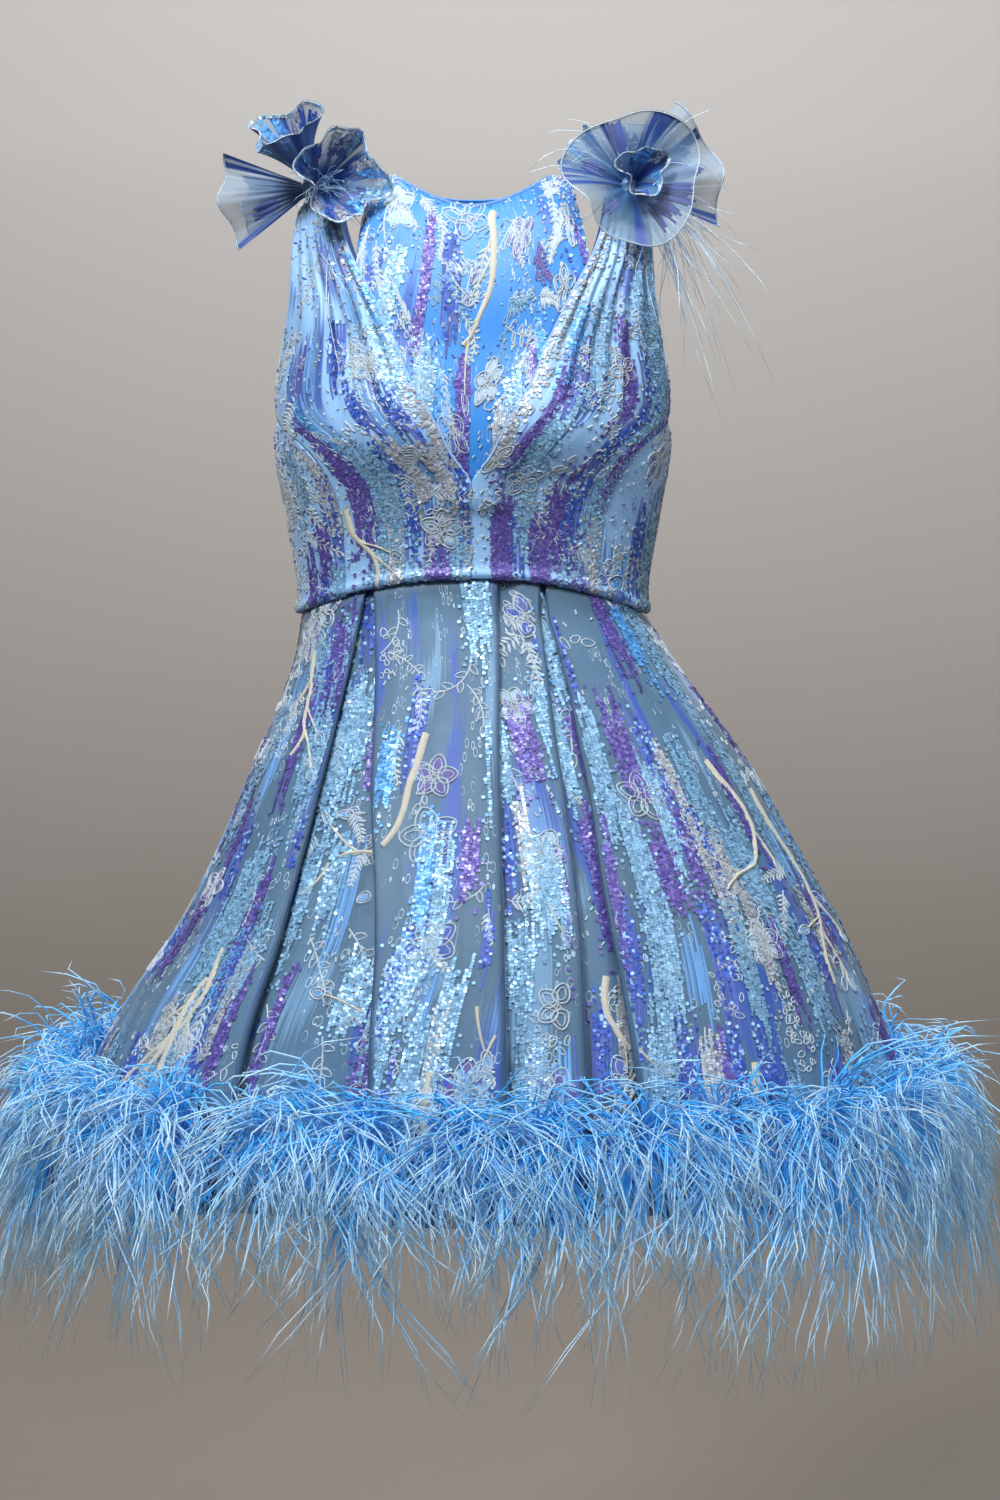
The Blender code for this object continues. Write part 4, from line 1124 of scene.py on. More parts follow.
def fan(mirror, first, middle, last, length, ruffles):
    rays = [direction(*way, mirror) for way in (first, middle, last)]
    lean = (rays[2] - rays[0]).cross(rays[1]).normalized()

    def sight(share, level):
        half = share * 2
        ray = rays[0].lerp(rays[1], half) if half <= 1 else rays[1].lerp(rays[2], half - 1)
        sway = math.radians(FAN_RUFFLE) * level * math.sin(2 * math.pi * ruffles * share)
        pleats = math.sin(2 * math.pi * (9 * share + 0.3 * math.sin(7 * share)))
        sway += math.radians(FAN_GATHER) * (1.1 - level) * pleats
        ray = (ray.normalized() + lean * sway).normalized()
        return ray, length * (1 - FAN_SCALLOP + FAN_SCALLOP * math.cos(4 * math.pi * share))

    return petal_cloth(mirror, FAN_COLUMNS, sight)


def knot_cloth(mirror):
    """Organza wound round the bow's middle, its folds running round on a slant."""
    centre = knot_centre(mirror)

    def place(tall, turn):
        folds = 1 + KNOT_FOLD * math.sin(tall) * math.sin(9 * tall + 2 * turn)
        out = (math.sin(tall) * math.cos(turn), math.sin(tall) * math.sin(turn), math.cos(tall))
        return centre + Vector(out) * KNOT_R * folds

    return Cloth(grid(place, spread(0.0, math.pi, 19), spread(0.0, 2 * math.pi, 41)))


PETALS = {}
for make, shapes in (funnel, FUNNELS), (fan, FANS):
    for bow, name, *shape in shapes:
        PETALS[bow, name] = make(MIRRORS[bow], *shape)
KNOTS = {(bow, "knot"): knot_cloth(mirror) for bow, mirror in MIRRORS.items()}
FAN_NAMES = {name for _, name, *_ in FANS}
for (bow, name), cloth in (PETALS | KNOTS).items():
    node = f"bow_{bow}_{name}"
    finish = STREAKED_PETAL if name in (*STREAKED, "knot") else SHEER_PETAL
    sewn(cloth, f"{node}.organza", finish, node,
         layers=2 if name == "knot" else 1, ring=name not in FAN_NAMES)


# Feathers

SKIRT_WALL = 0.0016
TRIM_CLEAR = 0.0016
TRIM_H = 0.012
TRIM_WALL = 0.0020
BARB_RINGS = 6
BARB_CURL = 0.120
BARB_TAPER = 0.42
FEATHER_ROOT = -(SKIRT_WALL / 2 + TRIM_CLEAR + TRIM_WALL * 0.7)
FLUFF_RINGS = 4
TAPE_SHELL = 0.0012
FEATHERS_OUT = 0.066
FEATHER_BOX = np.array(((-0.385, -0.302, -0.894), (0.424, 0.302, 0.0)))
# Colours at the root, the middle and the tip, and the shares of a barb over which they change
FEATHER_TINTS = ((0.003, 0.25, 0.88), (0.035, 0.45, 1.0), (0.62, 0.86, 0.98))
MIDDLE_AT = 0.45
TIP_FROM, TIP_OVER = 0.50, 0.46
PALE_FEATHER = (0.74, 0.87, 0.97)
UP = np.array((0.0, 0.0, 1.0))
CHANCE = np.random.default_rng(20)


def barbs(name, node, starts, ways, lengths, sags, bends, radii, shades, rings=BARB_RINGS):
    """Feather barbs: thin three-sided tapers that leave along ways, bend and sag as they go."""
    t = np.linspace(0.0, 1.0, rings + 1)[None, :, None]
    lengths, sags = lengths[:, None, None], sags[:, None, None]
    paths = starts[:, None] + lengths * (
        ways[:, None] * t * (1 - 0.22 * t) + bends[:, None] * t**2 - UP * sags * t**2.3)
    phase = bends.sum(axis=1)[:, None, None] * 9 + sags * 5
    curl = np.sin(7.5 * t + phase) - np.sin(phase) * (1 - t)
    paths = paths + unit(np.cross(ways, -UP))[:, None] * lengths * BARB_CURL * t**1.5 * curl
    along = unit(np.gradient(paths, axis=1))
    side = unit(np.cross(along, np.array((0.31, 0.17, 0.93))))
    other = np.cross(along, side)
    size = radii[:, None, None] * (1 - BARB_TAPER * t)
    corners = []
    for corner in range(3):
        turn = 2 * math.pi * corner / 3
        corners.append(paths + (side * math.cos(turn) + other * math.sin(turn)) * size)
    body = np.stack(corners, axis=2)[:, :rings].reshape(len(starts), -1, 3)
    points = np.concatenate([body, paths[:, -1:]], axis=1)
    count = points.shape[1]
    shape = [(0, 2, 1)]
    for k in range(rings - 1):
        for corner in range(3):
            a, b = 3 * k + corner, 3 * k + (corner + 1) % 3
            shape += [(a, b, b + 3), (a, b + 3, a + 3)]
    top = 3 * (rings - 1)
    shape += [(top + corner, top + (corner + 1) % 3, count - 1) for corner in range(3)]
    faces = np.array(shape)[None] + (np.arange(len(starts)) * count)[:, None, None]
    level = np.concatenate([np.repeat(t[0, :rings, 0], 3), [1.0]])
    root, middle, tip = (np.array(tint) for tint in FEATHER_TINTS)
    early = np.clip(level / MIDDLE_AT, 0, 1)[None, :, None]
    late = np.clip((level - TIP_FROM) / TIP_OVER, 0, 1)[None, :, None]
    tints = (root * (1 - early) + middle * early) * (1 - late) + tip * late
    pale = np.clip(shades[:, None, None], 0, 1)
    tints = tints * (1 - pale) + np.array(PALE_FEATHER) * pale
    obj = joined(name, "feather", FEATHER, points.reshape(-1, 3), faces.reshape(-1, 3),
                 np.broadcast_to(tints, (len(starts), count, 3)).reshape(-1, 3))
    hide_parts(node)


def hem_places(degrees, z):
    """Places on the feather strip, and the directions along it and straight out from it there."""
    places = np.array([tuple(outline(a, h, FEATHER_ROOT)) for a, h in zip(degrees, z)])
    ahead = np.array([tuple(outline(a + 0.5, h, FEATHER_ROOT)) for a, h in zip(degrees, z)])
    along = unit(ahead - places)
    return places, along, np.cross(along, UP)


PLUME_KINDS = (
    # share, rise in degrees, its spread, length, sag
    (0.35, 66.0, 13.0, 0.132, 0.72),
    (0.26, 30.0, 15.0, 0.104, 0.92),
    (0.34, -30.0, 20.0, 0.096, 0.70),
    (0.05, -34.0, 12.0, 0.160, 0.78),
)
TUFT_COUNT = 36
PLUMES_IN_TUFT, FINGERS, BARBS = 22, 5, 2
PLUMES = TUFT_COUNT * PLUMES_IN_TUFT
FLUFF = 2600
STRIP_HALF = 0.006
LONG_KIND = 3
# How far fingers stray from their plume, and barbs from their finger, in the order of feather_hem's values
JITTERS = (
    (FINGERS, (0.0014, 0.19, 0.012, 0.12, 0.16, 0.09, 0, 0)),
    (BARBS, (0.0003, 0.036, 0.006, 0.03, 0.045, 0.04, 0, 0)),
)


def in_tufts(values):
    """Each tuft's value, for every plume of it."""
    return np.repeat(values, PLUMES_IN_TUFT)


def feather_hem():
    """Plumes in tufts round the hem. A plume parts into fingers, and a finger into barbs."""
    share, rise, rise_spread, length, sag = (np.array(column) for column in zip(*PLUME_KINDS))
    tuft = (np.arange(TUFT_COUNT) + CHANCE.uniform(-0.3, 0.3, TUFT_COUNT)) * 360.0 / TUFT_COUNT - 180.0
    lean = CHANCE.normal(0, 1.0, PLUMES)
    degrees = np.clip(in_tufts(tuft) + lean * 0.9, -179.9, 179.9)
    z = TRIM_Z + in_tufts(CHANCE.uniform(-STRIP_HALF, STRIP_HALF, TUFT_COUNT))
    places, along, out = hem_places(degrees, z)
    kind = CHANCE.choice(len(PLUME_KINDS), PLUMES, p=share)
    lift = in_tufts(CHANCE.normal(0, 9.0, TUFT_COUNT))
    fullness = in_tufts(CHANCE.uniform(0.82, 1.20, TUFT_COUNT))
    level = rise[kind] + lift + CHANCE.normal(0, 1.0, PLUMES) * rise_spread[kind]
    level = np.radians(np.clip(level, -80, 84))[:, None]
    turn = np.radians(lean * 34.0 + CHANCE.normal(0, 12.0, PLUMES))[:, None]
    way = (out * np.cos(turn) + along * np.sin(turn)) * np.cos(level) + UP * np.sin(level)
    lengths = length[kind] * fullness * CHANCE.uniform(0.85, 1.12, PLUMES)
    sags = sag[kind] + CHANCE.normal(0, 0.08, PLUMES)
    bends = along * CHANCE.normal(0, 0.30, PLUMES)[:, None]
    shades = np.clip(CHANCE.normal(0.06, 0.18, PLUMES) + 0.35 * (kind == LONG_KIND), 0, 0.8)
    values = [places, way, lengths, sags, bends, shades, out, degrees]
    for count, jitters in JITTERS:
        grown = [np.repeat(value, count, axis=0) for value in values]
        values = [value + CHANCE.normal(0, 1.0, value.shape) * far for value, far in zip(grown, jitters)]
    starts, ways, lengths, sags, bends, shades, out, degrees = values
    ways = unit(ways)
    lengths = np.clip(lengths, 0.03, 0.19)
    reach = ways * 0.78 + bends
    reach[:, 2] -= sags
    outwards = np.einsum("ij,ij->i", reach, out) * lengths
    lengths = lengths * np.minimum(1.0, FEATHERS_OUT / np.maximum(outwards, 1e-6))
    tips = reach * lengths[:, None]
    for corner, ends in zip(FEATHER_BOX, (np.minimum(tips, -NEAR_ZERO), np.maximum(tips, NEAR_ZERO))):
        lengths = lengths * np.minimum(1.0, ((corner - starts) / ends).min(axis=1))
    radii = CHANCE.uniform(0.00065, 0.00125, len(starts))
    for k, part in enumerate(("left", "front", "right")):
        mine = np.minimum(((degrees + 180.0) / 120.0).astype(int), 2) == k
        barbs(f"hem_feathers_{part}", "feather_trim", *(
            array[mine] for array in (starts, ways, lengths, sags, bends, radii, shades)))


def feather_fluff():
    """Short barbs that fill the trim between the plumes."""
    degrees = CHANCE.uniform(-180.0, 180.0, FLUFF)
    places, along, out = hem_places(degrees, TRIM_Z + CHANCE.uniform(-STRIP_HALF, STRIP_HALF, FLUFF))
    level = np.radians(CHANCE.uniform(-80.0, 82.0, FLUFF))[:, None]
    ways = out * np.cos(level) + UP * np.sin(level) + along * CHANCE.normal(0, 0.4, (FLUFF, 1))
    lengths, sags = CHANCE.uniform(0.030, 0.056, FLUFF), CHANCE.uniform(0.2, 0.7, FLUFF)
    bends, radii = CHANCE.normal(0, 0.2, (FLUFF, 3)), CHANCE.uniform(0.0007, 0.0012, FLUFF)
    shades = CHANCE.normal(0.0, 0.05, FLUFF)
    barbs("hem_fluff", "feather_trim", places, unit(ways), lengths, sags, bends, radii, shades, FLUFF_RINGS)


def tape_place(z, degrees):
    return outline(degrees, z, -(SKIRT_WALL / 2 + TRIM_CLEAR + TRIM_WALL))


TAPE_ROWS = spread(TRIM_Z + TRIM_H / 2, TRIM_Z - TRIM_H / 2, 5)
sewn(Cloth(grid(tape_place, TAPE_ROWS, spread(-180, 180, 181))), "feather_tape.satin", TAPE,
     "feather_trim", wall=TAPE_SHELL, ring=True)
feather_hem()
feather_fluff()

TUFT_ROOT = KNOT_R + 0.0004
TUFTS = (
    # bow, azimuth, elevation, count, length, sag, fan, paleness
    ("left", 92, -40, 60, 0.098, 0.55, 0.30, 0.85),
    ("left", -125, 42, 34, 0.092, 0.60, 0.42, 0.78),
    ("left", 120, 62, 26, 0.088, 0.50, 0.40, 0.80),
    ("right", -24, 2, 60, 0.034, 0.35, 0.42, 0.45),
    ("right", -8, -55, 7, 0.100, 0.85, 0.12, 0.90),
    ("right", 170, 30, 16, 0.055, 0.60, 0.50, 0.80),
)


def bow_tufts():
    for bow, mirror in MIRRORS.items():
        centre = np.array(knot_centre(mirror))
        parts = []
        for owner, azimuth, elevation, count, length, sag, fanned, pale in TUFTS:
            if owner != bow:
                continue
            way = np.array(direction(azimuth, elevation, mirror))
            ways = unit(way + CHANCE.normal(0, fanned, (count, 3)))
            lengths = length * CHANCE.uniform(0.55, 1.15, count)
            sags, bends = CHANCE.normal(sag, 0.12, count), CHANCE.normal(0, 0.25, (count, 3))
            radii, shades = CHANCE.uniform(0.00036, 0.00055, count), CHANCE.normal(pale, 0.1, count)
            parts.append((centre + ways * TUFT_ROOT, ways, lengths, sags, bends, radii, shades))
        barbs(f"bow_{bow}_plume", f"bow_{bow}_feathers", *(np.concatenate(column) for column in zip(*parts)))


bow_tufts()


# Embroidery

AQUA = (0.18, 0.37, 0.58)
AMETHYST = (0.100, 0.078, 0.35)
COBALT = (0.030, 0.09, 0.46)
SILVER = (0.36, 0.41, 0.48)
SKY = (0.09, 0.32, 0.72)
WHITE_THREAD = (0.50, 0.62, 0.72)
PALE_THREAD = (0.40, 0.58, 0.74)
SEQUIN_R = 0.00165
SEQUIN_ACROSS, SEQUIN_DOWN = 0.0027, 0.0023
SEQUIN_STRAY = 0.0002
SEQUIN_CORNERS = 5
SEQUIN_TILT = 0.13
SEQUIN_STAND = (0.0006, 0.0011)
THREAD_HALF = 0.00055
THREAD_RISE = 0.0008
THREAD_STAND = 0.0002
LOOP_AREA = 0.000042
DASH_HALF = 0.0019
BEAD_RISE = 0.0012
# The kinds of band in a streak, which of them are stitching, and how often each kind comes
STREAK_TINTS = (AQUA, AMETHYST, COBALT, SILVER, SKY, SKY)
STITCHED = (2, 5)
STREAK_KINDS = (0.31, 0.20, 0.26, 0.08, 0.06, 0.09)
BODICE_KINDS = (0.36, 0.15, 0.20, 0.12, 0.07, 0.10)
YOKE_KINDS = (0.20, 0.32, 0.26, 0.03, 0.10, 0.09)
# How likely a spot has a streak, lace, sprigs, ferns, a flower, beads and a vine, and how many of each then
SKIRT_WORK = (0.84, 0.34, 0.45, 0.20, 0.28, 0.30, 0.24)
BODICE_WORK = (0.92, 0.50, 0.45, 0.40, 0.35, 0.90, 0.07)
YOKE_WORK = (0.36, 0.15, 0.60, 0.80, 0.45, 0.60, 0.42)
AT_ONCE = (1, 1, 2, 3, 1, 1, 1)
SKIRT_SEED, BODICE_SEED, YOKE_SEED, PETAL_SEED = 100, 200, 302, 400


def turned(path, angle):
    """A flat path turned about its start, from straight down towards the right."""
    c, s = math.cos(angle), math.sin(angle)
    return np.stack([path[:, 0] * c + path[:, 1] * s, path[:, 1] * c - path[:, 0] * s], axis=1)


def leaf(length, width, count=9):
    """A closed leaf loop that starts and ends at its stalk."""
    phi = np.linspace(0.0, 2 * math.pi, count)
    across = width / 2 * np.sin(phi) * (1 + 0.3 * np.cos(phi))
    return np.stack([across, length * (1 - np.cos(phi)) / 2], axis=1)


def straight(downs, angle):
    """Places on a line straight down from its start, turned about it."""
    return turned(np.stack([downs * 0, downs], axis=1), angle)


def walk(ways, length):
    """A line of a length that heads the given way at each point."""
    steps = np.stack([np.sin(ways), np.cos(ways)], axis=1) * length / (len(ways) - 1)
    return np.concatenate([np.zeros((1, 2)), np.cumsum(steps[:-1], axis=0)])


def stem(length, bend, count=13):
    """A curved line and the way that it heads at each point."""
    ways = bend * np.linspace(0.0, 1.0, count)
    return walk(ways, length), ways


class Needlework:
    """What is sewn on one cloth, its places in metres right of and below an anchor, kept until it is made."""

    def __init__(self, cloth, seed, kinds=STREAK_KINDS):
        self.cloth = cloth
        self.kinds = kinds
        self.chance = np.random.default_rng(seed)
        self.sequins = []
        self.lines = {}

    def shares(self, anchor, path):
        v = anchor[1] + path[..., 1] / self.cloth.length_at(anchor[0])
        return anchor[0] + path[..., 0] / self.cloth.width_at(v), v

    def line(self, anchor, path, half_width, rise, tint):
        u, v = self.shares(anchor, path)
        halves = np.broadcast_to(half_width, u.shape)
        self.lines.setdefault(len(path), []).append((u, v, halves, rise, tint))

    def band(self, anchor, width, height, tint, ragged=0.3, keep=0.97):
        """Columns of sequins that run down the cloth with ragged ends."""
        columns = max(round(width / SEQUIN_ACROSS), 1)
        for c in range(columns):
            top = height * self.chance.uniform(0, ragged)
            end = height * (1 - self.chance.uniform(0, ragged))
            y = np.arange(top, end, SEQUIN_DOWN) + self.chance.uniform(0, SEQUIN_DOWN)
            y = y[self.chance.random(len(y)) < keep]
            x = (c - (columns - 1) / 2) * SEQUIN_ACROSS + self.chance.normal(0, SEQUIN_STRAY, len(y))
            u, v = self.shares(anchor, np.stack([x, y], axis=1))
            shade = self.chance.normal(1.0, 0.16, (len(y), 1)).clip(0.55, 1.5)
            self.sequins.append((u, v, np.array(tint) * shade))

    def strokes(self, anchor, width, height, tint, spacing=0.0026):
        """Close vertical lines of filled stitching with ragged ends."""
        for x in np.arange(-width / 2, width / 2, spacing):
            top = height * self.chance.uniform(0, 0.35)
            end = height * (1 - self.chance.uniform(0, 0.35))
            y = np.linspace(top, end, 9)
            path = np.stack([np.full(9, x + self.chance.normal(0, 0.0003)), y], axis=1)
            halves = 0.0008 + 0.0005 * np.sin(np.linspace(0.2, math.pi - 0.1, 9))
            shade = self.chance.normal(1.0, 0.2)
            self.line(anchor, path, halves, 0.0005, tuple(c * max(shade, 0.5) for c in tint))

    def streak(self, anchor):
        """A group of two to four bands side by side, each of one colour, with loose sequins about them."""
        x = 0.0
        last = None
        for _ in range(self.chance.integers(2, 5)):
            kind = self.chance.choice(len(self.kinds), p=self.kinds)
            kind = (kind + 1) % len(self.kinds) if kind == last else kind
            last = kind
            tint = STREAK_TINTS[kind]
            width = self.chance.uniform(0.009, 0.018) * (1.5 if tint == AQUA else 1.0)
            height = self.chance.uniform(0.070, 0.140)
            start = self.shares(anchor, np.array([x + width / 2, self.chance.normal(0, 0.014)]))
            if kind in STITCHED:
                self.strokes(start, width, height, tint)
                if tint == COBALT:
                    self.band(start, width, height * 0.9, COBALT, 0.5, 0.50)
                    self.band(start, width, height * 0.7, PERIWINKLE, 0.5, 0.16)
            else:
                self.band(start, width, height, tint)
                self.band(start, width * 1.6, height * 1.15, tint, 0.1, 0.10)
            x += width + self.chance.choice((0.0, 0.0, 0.0035))

    def dashes(self, anchor, count, reach, tint=WHITE_THREAD):
        """Scattered bugle beads."""
        for _ in range(count):
            spot = self.chance.normal(0, reach, 2)
            path = straight(np.array((-DASH_HALF, 0.0, DASH_HALF)), self.chance.uniform(-0.9, 0.9))
            self.line(self.shares(anchor, spot), path, 0.0008, BEAD_RISE, tint)

    def sprinkle(self, closeness):
        """Loose seed and bugle beads all over the cloth, so many a square metre of it."""
        for _ in range(int(closeness * self.cloth.area)):
            anchor = (self.chance.random(), self.chance.random())
            tint = (WHITE_THREAD, WHITE_THREAD, SILVER, PALE_THREAD, COBALT)[self.chance.integers(5)]
            half = self.chance.uniform(0.0009, 0.0017)
            path = straight(np.array((-half, 0.0, half)), self.chance.uniform(0, math.pi))
            self.line(anchor, path, 0.0007, BEAD_RISE, tint)

    def sprig(self, anchor, way, length, tint=WHITE_THREAD):
        """A stalk with leaf loops in turn on both sides and one at its end."""
        path, ways = stem(length, self.chance.normal(0, 0.9))
        path = turned(path, way)
        self.line(anchor, path, THREAD_HALF * 1.2, THREAD_RISE, tint)
        for k in range(2, 12, 2):
            side = 1 if k % 4 else -1
            heading = way + ways[k] + side * self.chance.uniform(0.6, 1.1)
            loop = path[k] + turned(leaf(length * 0.20, length * 0.10), heading)
            self.line(anchor, loop, THREAD_HALF, THREAD_RISE, tint)
        loop = path[-1] + turned(leaf(length * 0.24, length * 0.12), way + ways[-1])
        self.line(anchor, loop, THREAD_HALF, THREAD_RISE, tint)

    def fern(self, anchor, way, length, tint=WHITE_THREAD):
        """A frond of short filled leaflets."""
        path, ways = stem(length, self.chance.normal(0, 0.7), 17)
        path = turned(path, way)
        halves = np.array((0.3, 1.0, 1.15, 0.8, 0.15)) * 0.0011
        self.line(anchor, path, 0.0006, 0.0009, tint)
        for k in range(2, 17, 2):
            for side in (-1, 1):
                size = 0.0095 * (1 - 0.6 * k / 17) * self.chance.uniform(0.8, 1.2)
                heading = way + ways[k] + side * self.chance.uniform(0.7, 1.0)
                leaflet = path[k] + straight(np.linspace(0.0, size, 5), heading)
                self.line(anchor, leaflet, halves, 0.0011, tint)

    def lace(self, anchor, width, height):
        """A patch of linked small loops."""
        for _ in range(int(width * height / LOOP_AREA)):
            spot = self.chance.uniform(-0.5, 0.5, 2)
            if np.hypot(*spot) > 0.5 * self.chance.uniform(0.75, 1.0):
                continue
            size = self.chance.uniform(0.0045, 0.0085)
            loop = leaf(size, size * self.chance.uniform(0.45, 0.75))
            loop = spot * (width, height) + turned(loop, self.chance.uniform(0, 2 * math.pi))
            self.line(anchor, loop, THREAD_HALF * 0.9, 0.0007, WHITE_THREAD)

    def petal(self, anchor, base, way, length, width, fill):
        """A leaf with a corded edge, veins and a filled inside."""
        self.line(anchor, turned(leaf(length, width, 17), way) + base, 0.0007, 0.0014, WHITE_THREAD)
        inner = turned(leaf(length * 0.66, width * 0.52), way) + base
        inner = inner + straight(np.array([length * 0.16]), way)
        self.line(anchor, inner, THREAD_HALF, 0.0011, WHITE_THREAD)
        if fill:
            core = straight(np.linspace(length * 0.10, length * 0.90, 5), way) + base
            self.line(anchor, core, np.array((0.2, 0.8, 1.0, 0.8, 0.2)) * width * 0.42, 0.0007, fill)

    def flower(self, anchor, radius):
        """Five petals round beads, facing any way."""
        start = self.chance.uniform(0, 2 * math.pi)
        fill = (COBALT, AMETHYST, None, PALE_THREAD, None)[self.chance.integers(5)]
        for k in range(5):
            way = start + 2 * math.pi * k / 5 + self.chance.normal(0, 0.08)
            base = straight(np.array([radius * 0.15]), way)
            self.petal(anchor, base, way, radius * 0.92, radius * 0.78, fill)
        self.dashes(anchor, 7, radius * 0.13, SILVER)

    def vine(self, anchor, way, length, twigs):
        """A corded cream branch with bends, twigs and a leaf or bud at each end."""
        count = 33
        ways = way + np.cumsum(self.chance.normal(0, 0.11, count))
        ways = ways + 0.38 * np.sin(np.linspace(0, self.chance.uniform(4, 9), count))
        path = walk(ways, length)
        self.line(anchor, path, np.linspace(0.0031, 0.0015, count), 0.0024, CREAM)
        for k in self.chance.choice(np.arange(5, count - 3), twigs, replace=False):
            heading = ways[k] + self.chance.choice((-1, 1)) * self.chance.uniform(0.4, 0.9)
            twig, twig_ways = stem(self.chance.uniform(0.018, 0.045), self.chance.normal(0, 0.5))
            twig = path[k] + turned(twig, heading)
            self.line(anchor, twig, np.linspace(0.0014, 0.0008, 13), 0.0018, CREAM)
            size, wide = self.chance.uniform(0.010, 0.016), self.chance.uniform(0.006, 0.009)
            fill = (COBALT, AMETHYST, SKY)[self.chance.integers(3)]
            self.petal(anchor, twig[-1], heading + twig_ways[-1], size, wide, fill)

    def motifs(self, spot, likely):
        """Sews each kind of motif about a spot, or not, as likely as it says."""
        draw = self.chance.uniform

        def near(reach=0.02):
            return self.shares(spot, self.chance.normal(0, reach, 2) + (0, 0.02))

        kinds = (
            lambda: self.streak(spot),
            lambda: self.lace(near(), draw(0.022, 0.045), draw(0.03, 0.07)),
            lambda: self.sprig(near(), draw(-1.2, 1.2), draw(0.030, 0.055)),
            lambda: self.fern(near(0.016), draw(-1.5, 1.5), draw(0.026, 0.046)),
            lambda: self.flower(near(), draw(0.012, 0.020)),
            lambda: self.dashes(near(), 16, 0.012),
            lambda: self.vine(
                near(), self.chance.normal(0, 0.32), draw(0.08, 0.19), self.chance.integers(1, 4)),
        )
        for kind, times, chance in zip(kinds, AT_ONCE, likely):
            if self.chance.random() < chance:
                for _ in range(times):
                    kind()

    def scatter(self, cell, likely):
        """Covers the cloth with motifs, about one spot a cell."""
        across, down = cell
        rows = max(round(self.cloth.length / down), 1)
        for r in range(rows):
            v = (r + 0.12) / rows
            columns = max(round(float(self.cloth.width_at(v)) / across), 1)
            for c in range(columns):
                u = (c + 0.5 + self.chance.uniform(-0.30, 0.30)) / columns
                self.motifs((u, v + self.chance.uniform(-0.3, 0.3) / rows), likely)

    def make(self, name, slot):
        """Makes the thread lines and any sequins as one piece each."""
        if self.sequins:
            self.make_sequins(f"{name}.sequins", slot)
        self.make_lines(f"{name}.embroidery", slot)

    def make_sequins(self, name, slot):
        u, v, tints = (np.concatenate(column) for column in zip(*self.sequins))
        places, rights, downs, outs, seen = self.cloth.frames(u, v)
        keep = seen > 0.5
        places, rights, downs, outs, tints = (array[keep] for array in (places, rights, downs, outs, tints))
        count = len(places)
        tilts = self.chance.normal(0, SEQUIN_TILT, (2, count, 1))
        facing = unit(outs + rights * tilts[0] + downs * (tilts[1] - 0.10))
        a = unit(rights - facing * (rights * facing).sum(axis=1, keepdims=True))
        b = np.cross(facing, a)
        middle = places + outs * self.chance.uniform(*SEQUIN_STAND, (count, 1))
        turns = 2 * math.pi * np.arange(SEQUIN_CORNERS) / SEQUIN_CORNERS
        points = middle[:, None] + SEQUIN_R * (
            a[:, None] * np.cos(turns)[None, :, None] + b[:, None] * np.sin(turns)[None, :, None])
        faces = np.arange(count * SEQUIN_CORNERS).reshape(count, SEQUIN_CORNERS)
        joined(name, slot, SEQUINS, points.reshape(-1, 3), faces, np.repeat(tints, SEQUIN_CORNERS, axis=0))

    def make_lines(self, name, slot):
        points, faces, tints, marks, base = [], [], [], [], 0
        for count, lines in self.lines.items():
            u, v, halves = (np.array([line[k] for line in lines]) for k in range(3))
            rises = np.array([line[3] for line in lines])[:, None, None]
            colours = np.array([line[4] for line in lines])
            places, outs, seen = (
                array.reshape(len(lines), count, -1) for array in self.cloth.at(u.ravel(), v.ravel()))
            along = unit(np.gradient(places, axis=1))
            side = np.cross(outs, along) * halves[..., None]
            trio = np.stack([places - side, places + outs * rises, places + side], axis=2)
            points.append((trio + outs[:, :, None] * THREAD_STAND).reshape(-1, 3))
            first = base + 3 * np.arange(len(lines) * count).reshape(len(lines), count)[:, :-1]
            seen = seen[..., 0]
            whole = seen.mean(axis=1, keepdims=True) > 0.7
            first = first[(seen[:, :-1] > 0.5) & (seen[:, 1:] > 0.5) & whole].ravel()
            faces.append(np.stack([first, first + 1, first + 4, first + 3], axis=1))
            faces.append(np.stack([first + 1, first + 2, first + 5, first + 4], axis=1))
            tints.append(np.repeat(colours, count * 3, axis=0))
            far = along_rows(np.linalg.norm(np.diff(places, axis=1), axis=2)).ravel()
            marks.append(np.stack([np.repeat(far, 3), np.tile((0.0, 0.5, 1.0), len(far))], axis=1))
            base += len(lines) * count * 3
        joined(name, slot, THREAD, *(np.concatenate(part) for part in (points, faces, tints, marks)))


RIM_AT = 0.985
BEADS_AT = 0.965
RIM_STITCHES = ((0.012, 0.05, 0.26), ROYAL, NAVY)
RIM_PACE, BEAD_PACE = 0.016, 0.0026


